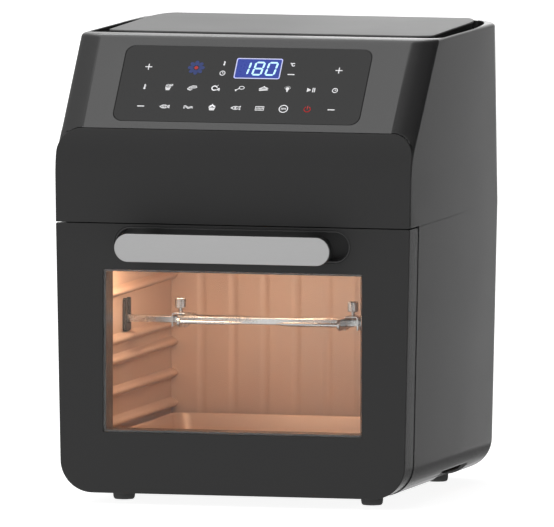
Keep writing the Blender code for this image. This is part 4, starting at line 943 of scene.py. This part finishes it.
def handle():
    thin = 0.0015
    cup = prism("pocket_cup", stadium(POCKET_HALF - 0.0001, POCKET_TALL - 0.0002, POCKET_Z), "Y",
                behind(GAP), behind(POCKET_FLOOR))
    inner = stadium(POCKET_HALF - thin, POCKET_TALL - 2 * thin, POCKET_Z)
    cut(cup, [prism("hollow", inner, "Y", behind(-WALL), behind(POCKET_FLOOR - thin))])
    soften(cup, 0.0006, 3)
    part(cup, "door", "black_matte_plastic", "handle_pocket", look=POCKET)
    reach, face = HANDLE_REACH, 0.0015
    front = plate("grip_face", [stadium(HANDLE_HALF - GAP, HANDLE_TALL - 2 * GAP, HANDLE_Z)],
                  behind(-reach), behind(-reach + face), 0.0005)
    part(front, "door", "brushed_silver", "handle_face")
    near, far = -reach + face + GAP, -reach + face + 0.0085
    outline = stadium(HANDLE_HALF, HANDLE_TALL, HANDLE_Z)
    bar = plate("grip_bar", [outline], behind(near), behind(far), 0.0022)
    posts = []
    low, high = HANDLE_Z - POST_RISE, HANDLE_Z + POST_RISE
    for x in (-POST_X, POST_X):
        section = rectangle(x - POST_HALF, low, x + POST_HALF, high, 0.004, 8)
        posts.append(prism("post", section, "Y", behind(far - 0.003), behind(POST_END)))
    cut(bar, posts, "UNION")
    part(settle(bar), "door", "black_matte_plastic", "handle_bar")


# Pieces that spin

def rotisserie():
    y, half = behind(SPIT_DEPTH), SPIT_SIDE / 2
    section = rectangle(y - half, SPIT_Z - half, y + half, SPIT_Z + half, 0.0009, 5)
    rod = prism("spit_bar", section, "X", ROD_LEFT, ROD_RIGHT)
    soften(rod, 0.0006, 2)
    part(rod, "rotisserie", "bright_steel", "spit_rod")
    profile = [(0, 0.1312), (0.0044, 0.1312), (0.0050, 0.1306), (0.0050, 0.1240), (0.0096, 0.1240),
               (0.0104, 0.1235), (0.0110, 0.1225), (0.0110, 0.1018), (0.0106, 0.1006), (0.0098, 0.1000),
               (0, 0.1000)]
    socket = turned("socket_fine", profile, (0, y, SPIT_Z), "X")
    hole = half + GAP
    cut(socket, [block("square", (0.090, y - hole, SPIT_Z - hole), (0.1183, y + hole, SPIT_Z + hole))])
    part(settle(socket), "rotisserie", "dark_coated_steel", "drive_socket")
    for side, label in ((-1, "left"), (1, "right")):
        fork(side, label, y)


def fork(side, label, y):
    """Bent channel that clamps on the spit, with two tapered tines and a knurled screw."""
    middle, outer, thick, tine, reach, tall = side * 0.076, 0.0062, 0.0014, 0.056, 0.0065, 0.0062
    inner, hole = outer - thick, SPIT_SIDE / 2 + GAP
    bend = [(middle - outer, SPIT_Z - tall, 0), (middle - inner, SPIT_Z - tall, 0),
            (middle - inner, SPIT_Z + tall - thick, 0.0010),
            (middle + inner, SPIT_Z + tall - thick, 0.0010),
            (middle + inner, SPIT_Z - tall, 0), (middle + outer, SPIT_Z - tall, 0),
            (middle + outer, SPIT_Z + tall, 0.0022), (middle - outer, SPIT_Z + tall, 0.0022)]
    channel = prism("fork_channel_" + label, rounded(bend, 6), "Y", y - reach, y + reach)
    ear = middle - side * (outer - thick / 2)
    arm = prism("arm", rectangle(y - 0.030, SPIT_Z - 0.0048, y + 0.030, SPIT_Z + 0.0048, 0.0046, 8), "X",
                ear - thick / 2 - GAP, ear + thick / 2 + GAP)
    pieces = [arm]
    for offset in (-0.026, 0.026):
        prong = [(0, 0.0), (0.0019, 0.0), (0.0019, tine - 0.014), (0.0014, tine - 0.006),
                 (0.0006, tine - 0.001), (0, tine)]
        profile = [(radius, -side * along) for radius, along in prong]
        pieces.append(turned("prong", profile, (ear, y + offset, SPIT_Z), "X", 20))
    cut(channel, pieces, "UNION")
    square = block("square", (middle - 2 * outer, y - hole, SPIT_Z - hole),
                   (middle + 2 * outer, y + hole, SPIT_Z + hole))
    tap = pin("tap", 0.0019, 0.0035, 0.020, (middle, y, SPIT_Z), "Z", 20)
    cut(channel, [square, tap])
    soften(channel, 0.0003, 2, 50)
    part(channel, "rotisserie", "bright_steel", "fork_" + label)
    screw = [(0, 0.0185), (0.0036, 0.0185), (0.0043, 0.0182), (0.0046, 0.0175), (0.0046, 0.0108),
             (0.0043, 0.0100), (0.0036, 0.0097), (0.0016, 0.0097), (0.0016, hole), (0, hole)]
    knob = turned("knurled_screw_" + label, screw, (middle, y, SPIT_Z), "Z", 96)
    for vertex in knob.data.vertices:
        dx, dy = vertex.co.x - middle, vertex.co.y - y
        if math.hypot(dx, dy) > 0.0042:
            groove = 1 - 0.05 * (1 + math.cos(24 * math.atan2(dy, dx))) / 2
            vertex.co.x, vertex.co.y = middle + dx * groove, y + dy * groove
    part(settle(knob, 28), "rotisserie", "bright_steel", "thumb_screw_" + label)


def cradle():
    """Notched bracket on the left wall that the spit's end rests in."""
    y, half, slot = behind(SPIT_DEPTH), 0.009, 0.0040
    low, high = SPIT_Z - 0.011, SPIT_Z + 0.0175
    outline = rounded([
        (y - half, low, 0.003), (y + half, low, 0.003), (y + half, high, 0.0022), (y + slot, high, 0.0014),
        (y + slot, SPIT_Z - slot, 0.0038), (y - slot, SPIT_Z - slot, 0.0038),
        (y - slot, high, 0.0014), (y - half, high, 0.0022),
    ], 8)
    plate_like = prism("spit_cradle", outline, "X", -CAVITY_HALF + GAP, -CAVITY_HALF + 0.0033)
    soften(plate_like, 0.0005, 2)
    part(plate_like, "root", "dark_coated_steel", "spit_support")


# Control face: printed icons and the display, in the face's own plane

ICON_LIFT = 0.00012                # thickness of a print on the glass
INK_SPREAD = 1.25                  # how much wider a line prints than it is drawn


class Print:
    """Flat print on the glass: strokes, dots and filled outlines gathered into one thin mesh."""

    def __init__(self, name):
        self.name = name
        self.build = bmesh.new()
        self.at(0, 0, 1)

    def at(self, u, v, size):
        """Where the next icon stands on the glass, and how long its unit is."""
        self.u, self.v, self.size = u, v, size
        return self

    def spots(self, points):
        return [(self.u + x * self.size, self.v + y * self.size) for x, y in points]

    def slab(self, outline, high=ICON_LIFT):
        """Thin slab over a closed outline on the glass."""
        area = sum(a[0] * b[1] - b[0] * a[1] for a, b in zip(outline, outline[1:] + outline[:1]))
        if area < 0:
            outline = outline[::-1]
        bottom = [self.build.verts.new((u, v, 0.0)) for u, v in outline]
        top = [self.build.verts.new((u, v, high)) for u, v in outline]
        self.build.faces.new(bottom[::-1])
        self.build.faces.new(top)
        for index in range(len(outline)):
            after = (index + 1) % len(outline)
            self.build.faces.new((bottom[index], bottom[after], top[after], top[index]))

    def line(self, points, width, closed=False):
        """Line of one width with round joins, through points on the glass."""
        half = width * INK_SPREAD / 2
        pairs = list(zip(points, points[1:])) + ([(points[-1], points[0])] if closed else [])
        for (u0, v0), (u1, v1) in pairs:
            length = math.hypot(u1 - u0, v1 - v0)
            if length < 1e-9:
                continue
            start = math.atan2((u1 - u0) / length * half, -(v1 - v0) / length * half)
            turns = [start + math.pi * k / 5 for k in range(6)]
            outline = [(u0 + half * math.cos(turn), v0 + half * math.sin(turn)) for turn in turns]
            outline += [(u1 - half * math.cos(turn), v1 - half * math.sin(turn)) for turn in turns]
            self.slab(outline)

    def fill(self, points):
        self.slab(self.spots(points))

    def stroke(self, points, width, closed=False):
        self.line(self.spots(points), width, closed)

    def disc(self, x, y, radius):
        self.slab(self.round(x, y, radius, [2 * math.pi * k / 20 for k in range(20)]))

    def arc(self, x, y, radius, start, end, width, squash=1.0, steps=18):
        angles = [math.radians(start + (end - start) * k / steps) for k in range(steps + 1)]
        self.line(self.round(x, y, radius, angles, squash), width)

    def round(self, x, y, radius, angles, squash=1.0):
        (u, v), reach = self.spots([(x, y)])[0], radius * self.size
        return [(u + reach * math.cos(a), v + squash * reach * math.sin(a)) for a in angles]

    def done(self, material, lift=0.00002, *nodes):
        made = from_bmesh(self.name, self.build)
        made.data.transform(FACE_FRAME @ Matrix.Translation((0, 0, lift)))
        part(made, "root", "display", *nodes, look=material)


def plus(ink):
    ink.stroke([(-1, 0), (1, 0)], 0.0007)
    ink.stroke([(0, -1), (0, 1)], 0.0007)


def minus(ink):
    ink.stroke([(-1, 0), (1, 0)], 0.0008)


def thermometer(ink):
    ink.disc(0, -0.62, 0.38)
    ink.stroke([(0, -0.6), (0, 0.95)], 0.0007)
    ink.stroke([(0.30, 0.0), (0.30, 0.75)], 0.0003)


def clock(ink):
    ink.arc(0, 0, 0.85, 0, 360, 0.0005)
    ink.stroke([(0, 0.5), (0, 0), (0.4, 0)], 0.0004)


def fries(ink):
    ink.fill([(-0.75, 0.1), (-0.55, -0.85), (0.35, -0.85), (0.6, 0.1), (0.2, -0.1), (-0.4, -0.1)])
    for k in range(5):
        x = -0.6 + 0.27 * k
        ink.stroke([(x, 0.15), (x + 0.12 + 0.05 * k, 0.75 + 0.15 * (k % 2))], 0.00042)
    ink.stroke([(0.5, 0.5), (0.95, 0.9), (0.95, 0.4)], 0.00035)


def steak(ink):
    body = [(-1.1, -0.35), (-0.6, 0.25), (0.1, 0.55), (0.9, 0.5), (1.15, 0.15), (0.7, -0.1), (0.0, -0.15),
            (-0.5, -0.55)]
    ink.stroke(body, 0.00045, True)
    ink.stroke([(-0.7, -0.2), (-0.1, 0.15), (0.7, 0.25)], 0.0005)
    ink.stroke([(-1.0, -0.55), (-0.4, -0.8), (0.1, -0.45)], 0.00035)


def shrimp(ink):
    ink.arc(-0.35, 0, 0.62, 20, 300, 0.0008)
    ink.stroke([(0.0, -0.6), (0.45, -0.4), (0.9, -0.75)], 0.0005)
    ink.stroke([(0.1, 0.5), (0.5, 0.9)], 0.0003)
    for k in range(3):
        ink.stroke([(0.35 + 0.25 * k, -0.1), (0.42 + 0.25 * k, -0.5)], 0.00035)
    ink.disc(0.75, -0.15, 0.2)


def drumstick(ink):
    turns = [math.pi * k / 9 for k in range(18)]
    head = [(0.45 + 0.62 * math.cos(turn), 0.25 + 0.42 * math.sin(turn)) for turn in turns]
    ink.stroke(head, 0.00045, True)
    ink.stroke([(-0.1, 0.05), (-0.85, -0.45)], 0.0006)
    ink.disc(-0.95, -0.42, 0.17)
    ink.disc(-0.86, -0.62, 0.17)


def cake(ink):
    ink.fill([(-1.05, -0.55), (1.05, -0.35), (1.05, 0.0), (-1.05, -0.15)])
    ink.stroke([(-1.05, 0.05), (0.0, 0.62), (1.05, 0.22)], 0.0006)
    ink.stroke([(-1.05, 0.05), (1.05, 0.22)], 0.0004)
    ink.disc(0.1, 0.72, 0.16)


def bulb(ink):
    ink.disc(0, 0.3, 0.62)
    ink.fill([(-0.30, -0.2), (0.30, -0.2), (0.22, -0.95), (-0.22, -0.95)])
    for angle in (20, 55, 90, 125, 160):
        x, y = math.cos(math.radians(angle)), math.sin(math.radians(angle))
        ink.stroke([(0.85 * x, 0.3 + 0.85 * y), (1.1 * x, 0.3 + 1.1 * y)], 0.0003)


def play_pause(ink):
    ink.fill([(-1.0, -0.62), (0.02, 0.0), (-1.0, 0.62)])
    for x in (0.30, 0.72):
        ink.fill([(x, -0.62), (x + 0.24, -0.62), (x + 0.24, 0.62), (x, 0.62)])


def fish_rack(ink):
    body = [(-1.1, 0), (-0.5, 0.42), (0.25, 0.45), (0.8, 0.1), (1.15, 0.4), (1.15, -0.4), (0.8, -0.1),
            (0.25, -0.45), (-0.5, -0.42)]
    ink.stroke(body, 0.0005, True)
    for x in (-0.5, -0.15, 0.2):
        ink.stroke([(x, -0.35), (x, 0.35)], 0.00045)


def bacon(ink):
    for shift in (0.0, -0.32):
        wave = [(-1.1 + 0.22 * k, shift + 0.22 + 0.18 * math.sin(0.9 * k) - 0.03 * k) for k in range(11)]
        ink.stroke(wave, 0.00045)
    ink.disc(-0.95, -0.35, 0.16)


def cupcake(ink):
    ink.fill([(-0.55, -0.85), (0.55, -0.85), (0.80, -0.05), (-0.80, -0.05)])
    ink.arc(0, 0, 0.72, 0, 180, 0.0006, 0.85)
    ink.arc(0, 0.1, 0.40, 10, 170, 0.0005, 0.9)
    ink.disc(0, 0.85, 0.16)


def fish(ink):
    outline = [(-1.15, 0.0), (-0.7, 0.30), (0.0, 0.48), (0.55, 0.25), (1.1, 0.5), (0.95, 0.0), (1.1, -0.5),
               (0.55, -0.25), (0.0, -0.48), (-0.7, -0.30)]
    ink.stroke(outline, 0.0005, True)
    ink.disc(-0.1, 0, 0.26)
    ink.disc(-0.8, 0.04, 0.09)


def grid(ink):
    ink.stroke([(-1, -0.55), (1, -0.55), (1, 0.55), (-1, 0.55)], 0.0004, True)
    for k in range(1, 6):
        x = -1 + k / 3
        ink.stroke([(x, -0.55), (x, 0.55)], 0.00026)
    ink.stroke([(-1, 0), (1, 0)], 0.00026)


def round_timer(ink):
    ink.arc(0, 0, 1.02, 0, 360, 0.0006, 1.0, 30)
    for x in (-0.5, -0.17, 0.17, 0.5):
        ink.stroke([(x, -0.2), (x, 0.2)], 0.00042)
    ink.stroke([(-0.5, 0.2), (0.5, 0.2)], 0.0003)


def power(ink):
    ink.arc(0, 0, 0.9, 125, 415, 0.0007, 1.0, 26)
    ink.stroke([(0, 0.15), (0, 1.1)], 0.0007)


def degree_c(ink):
    ink.arc(-0.75, 0.6, 0.22, 0, 360, 0.0003, 1.0, 12)
    ink.arc(0.25, 0, 0.62, 45, 315, 0.00055, 1.1)


def rotisserie_flower(u, v):
    """Eight blue petals round a red centre: the fan sign."""
    petals, centre = Print("flower_petals"), Print("flower_centre")
    for k in range(8):
        angle = 2 * math.pi * k / 8
        cos_a, sin_a = math.cos(angle), math.sin(angle)
        shape = []
        for step in range(16):
            t = 2 * math.pi * step / 16
            x, y = 0.0049 + 0.0026 * math.cos(t), 0.0019 * math.sin(t)
            shape.append((u + x * cos_a - y * sin_a, v + x * sin_a + y * cos_a))
        petals.fill(shape)
    centre.disc(u, v, 0.0017)
    petals.done(BLUE_PRINT)
    centre.done(RED_PRINT)


COLUMN, PITCH = -0.0886, 0.02088
ROWS = (0.0237, 0.0442, 0.0654)
LOW_ROW = (minus, fish_rack, bacon, cupcake, fish, grid, round_timer, power, minus)
MIDDLE_ROW = (thermometer, fries, steak, shrimp, drumstick, cake, bulb, play_pause, clock)
SMALLER = {thermometer: 0.72, bulb: 0.72, clock: 0.72, minus: 0.75}
ICON_SIZE, UNIT_OFF = 0.0036, 0.0052


def column(index):
    return COLUMN + PITCH * index


def icons():
    ink = Print("printed_icons")
    plus(ink.at(column(0), ROWS[2], 0.0027))
    plus(ink.at(column(8), ROWS[2], 0.0027))
    thermometer(ink.at(column(3) + 0.0030, ROWS[2] + UNIT_OFF, 0.0022))
    clock(ink.at(column(3) + 0.0030, ROWS[2] - UNIT_OFF, 0.0026))
    degree_c(ink.at(column(6) + 0.0005, ROWS[2] + UNIT_OFF, 0.0021))
    minus(ink.at(column(6) + 0.0005, ROWS[2] - UNIT_OFF, 0.0026))
    for row, draws in ((1, MIDDLE_ROW), (0, LOW_ROW)):
        for index, draw in enumerate(draws):
            if draw is not power:
                draw(ink.at(column(index), ROWS[row], ICON_SIZE * SMALLER.get(draw, 1.0)))
    ink.done(PRINT)
    red = Print("power_icon")
    power(red.at(column(7), ROWS[0], 0.0030))
    red.done(RED_PRINT)
    rotisserie_flower(column(2), ROWS[2])


SEGMENTS = {"1": "bc", "8": "abcdefg", "0": "abcdef"}


def digit(ink, text, u, v, wide, tall, slope):
    """Slanted seven-segment figure with pointed ends."""
    cap, gap = 0.0008, 0.00025

    def place(x, y):
        return (u + x + slope * y, v + y)

    half, quarter = tall / 2, tall / 4
    side = wide / 2
    bars = {"a": (0, half, True), "g": (0, 0, True), "d": (0, -half, True),
            "b": (side, quarter, False), "c": (side, -quarter, False),
            "f": (-side, quarter, False), "e": (-side, -quarter, False)}
    for name in SEGMENTS[text]:
        x, y, level = bars[name]
        reach = (side if level else quarter) - gap
        near = reach - cap
        shape = [(-reach, 0), (-near, cap), (near, cap), (reach, 0), (near, -cap), (-near, -cap)]
        points = [(x + a, y + b) if level else (x + b, y + a) for a, b in shape]
        ink.fill([place(*point) for point in points])


def display():
    u, v, half, tall = 0.0076, ROWS[2] + 0.0003, 0.0198, 0.0104
    screen = Print("display_screen")
    edge = rectangle(u - half, v - tall, u + half, v + tall, 0.0016, 6)
    screen.slab(edge, 0.00008)
    screen.done(SCREEN, 0.00002, "display_module")
    border = Print("display_rim")
    border.stroke(edge, 0.0007, True)
    border.done(BORDER, 0.00006)
    ink = Print("display_digits")
    for text, off in zip("180", (-0.0118, 0.0002, 0.0117)):
        digit(ink, text, u + off, v, 0.0074, 0.0130, 0.16)
    ink.done(LIT, 0.00010)


def refinish():
    """Gives the CAD nodes that stay as they are the materials of their slots."""
    for row in frame["record"]["subparts"]:
        for slot in frame["nodes"][row["node"]].material_slots:
            slot.material = SLOT_LOOK[row["material_slot"]]


# Floor, light and camera

# Light from the room, which the camera itself sees as plain white. SWEEP gives its level from the left
# at 0 to the right at 1; the other levels scale it between two heights of the direction, from -1 to 1.
SWEEP = ((0.0, 0.40), (0.24, 0.42), (0.30, 0.90), (0.42, 1.10), (0.475, 1.00), (0.515, 0.34),
         (0.62, 0.12), (1.0, 0.05))
OVERHEAD, OVERHEAD_FROM, OVERHEAD_FULL = 1.30, 0.55, 0.90
UNDERNEATH, UNDERNEATH_FROM, UNDERNEATH_FULL = 0.66, -0.10, -0.30


def multiply(tree, first, second):
    made = node(tree, "Math")
    made.operation = "MULTIPLY"
    wire(tree, first, made.inputs[0])
    wire(tree, second, made.inputs[1])
    return made.outputs["Value"]


FLOOR_RADIUS, FLOOR_DROP = 9.0, 0.0002


def stage():
    build = bmesh.new()
    bmesh.ops.create_circle(build, cap_ends=True, segments=96, radius=FLOOR_RADIUS)
    floor = from_bmesh("studio_floor", build)
    floor.location.z = -FLOOR_DROP
    pale = finish("pale_floor", (0.70, 0.70, 0.70), 0.85, vary=0.006, bump=0.01, grain=60.0, mottle=3.0,
                  specular=0.0, emission=(1, 1, 1), strength=0.90)
    floor.data.materials.append(pale)
    floor.visible_glossy = False
    world = bpy.data.worlds.new("studio")
    world.use_nodes = True
    tree = world.node_tree
    split = node(tree, "SeparateXYZ")
    wire(tree, node(tree, "TexCoord").outputs["Generated"], split.inputs["Vector"])
    across = remap(tree, split.outputs["X"], -1.0, 1.0, 0.0, 1.0)
    sweep = ramp(tree, across, [(position, (level, level, level)) for position, level in SWEEP])
    rise = remap(tree, split.outputs["Z"], OVERHEAD_FROM, OVERHEAD_FULL, 1.0, OVERHEAD)
    fall = remap(tree, split.outputs["Z"], UNDERNEATH_FROM, UNDERNEATH_FULL, 1.0, UNDERNEATH)
    level = node(tree, "Mix", B=1.0)
    wire(tree, node(tree, "LightPath").outputs["Is Camera Ray"], level.inputs["Factor"])
    wire(tree, multiply(tree, multiply(tree, sweep, rise), fall), level.inputs["A"])
    backdrop = tree.nodes["Background"]
    wire(tree, level.outputs["Result"], backdrop.inputs["Strength"])
    values(backdrop, Color=(1, 1, 1, 1))
    scene.world = world


def area(name, place, target, size, power, colour=(1, 1, 1)):
    """Rectangular light that the camera doesn't see."""
    light = bpy.data.lights.new(name, "AREA")
    light.shape = "RECTANGLE"
    light.size, light.size_y = size
    light.energy = power
    light.color = colour
    made = bpy.data.objects.new(name, light)
    scene.collection.objects.link(made)
    place = Vector(place)
    turn = (Vector(target) - place).to_track_quat("-Z", "Y").to_matrix().to_4x4()
    made.matrix_world = Matrix.Translation(place) @ turn
    made.visible_camera = False


def lights():
    area("rear_card", (0.072, 0.95, 0.35), (0.072, 0.0, 0.35), (0.59, 0.90), 0.84)
    area("high_softbox", (-0.6, 1.6, 2.2), (0.0, 0.0, 0.35), (1.0, 0.6), 5.5)
    area("chamber_glow", (-0.035, behind(0.075), 0.2235), (-0.090, behind(0.190), 0.165), (0.15, 0.05),
         0.68, (1.0, 0.72, 0.50))


def camera():
    """Far camera a little to the right of the front and a little above."""
    yaw, pitch, roll = math.radians(14.43), math.radians(4.7), math.radians(0.06)
    distance, scale, wide = 19.5, 1170.0, 554
    back = Vector((math.sin(yaw) * math.cos(pitch), -math.cos(yaw) * math.cos(pitch), math.sin(pitch)))
    turn = (-back).to_track_quat("-Z", "Y").to_matrix().to_4x4() @ Matrix.Rotation(roll, 4, "Z")
    aim = Vector((0, -0.003, 0.190)) + turn.to_3x3() @ Vector((0.0006, 0.00573, 0))
    made = bpy.data.objects.new("camera", bpy.data.cameras.new("camera"))
    scene.collection.objects.link(made)
    made.matrix_world = Matrix.Translation(aim + back * distance) @ turn
    made.data.sensor_width = 36.0
    made.data.lens = scale * distance * 36.0 / wide
    made.data.clip_end = 100.0
    scene.camera = made


camera()
casing()
chamber()
door()
rotisserie()
cradle()
icons()
display()
refinish()
stage()
lights()
scene.view_settings.view_transform = "Standard"
scene.view_settings.look = "None"
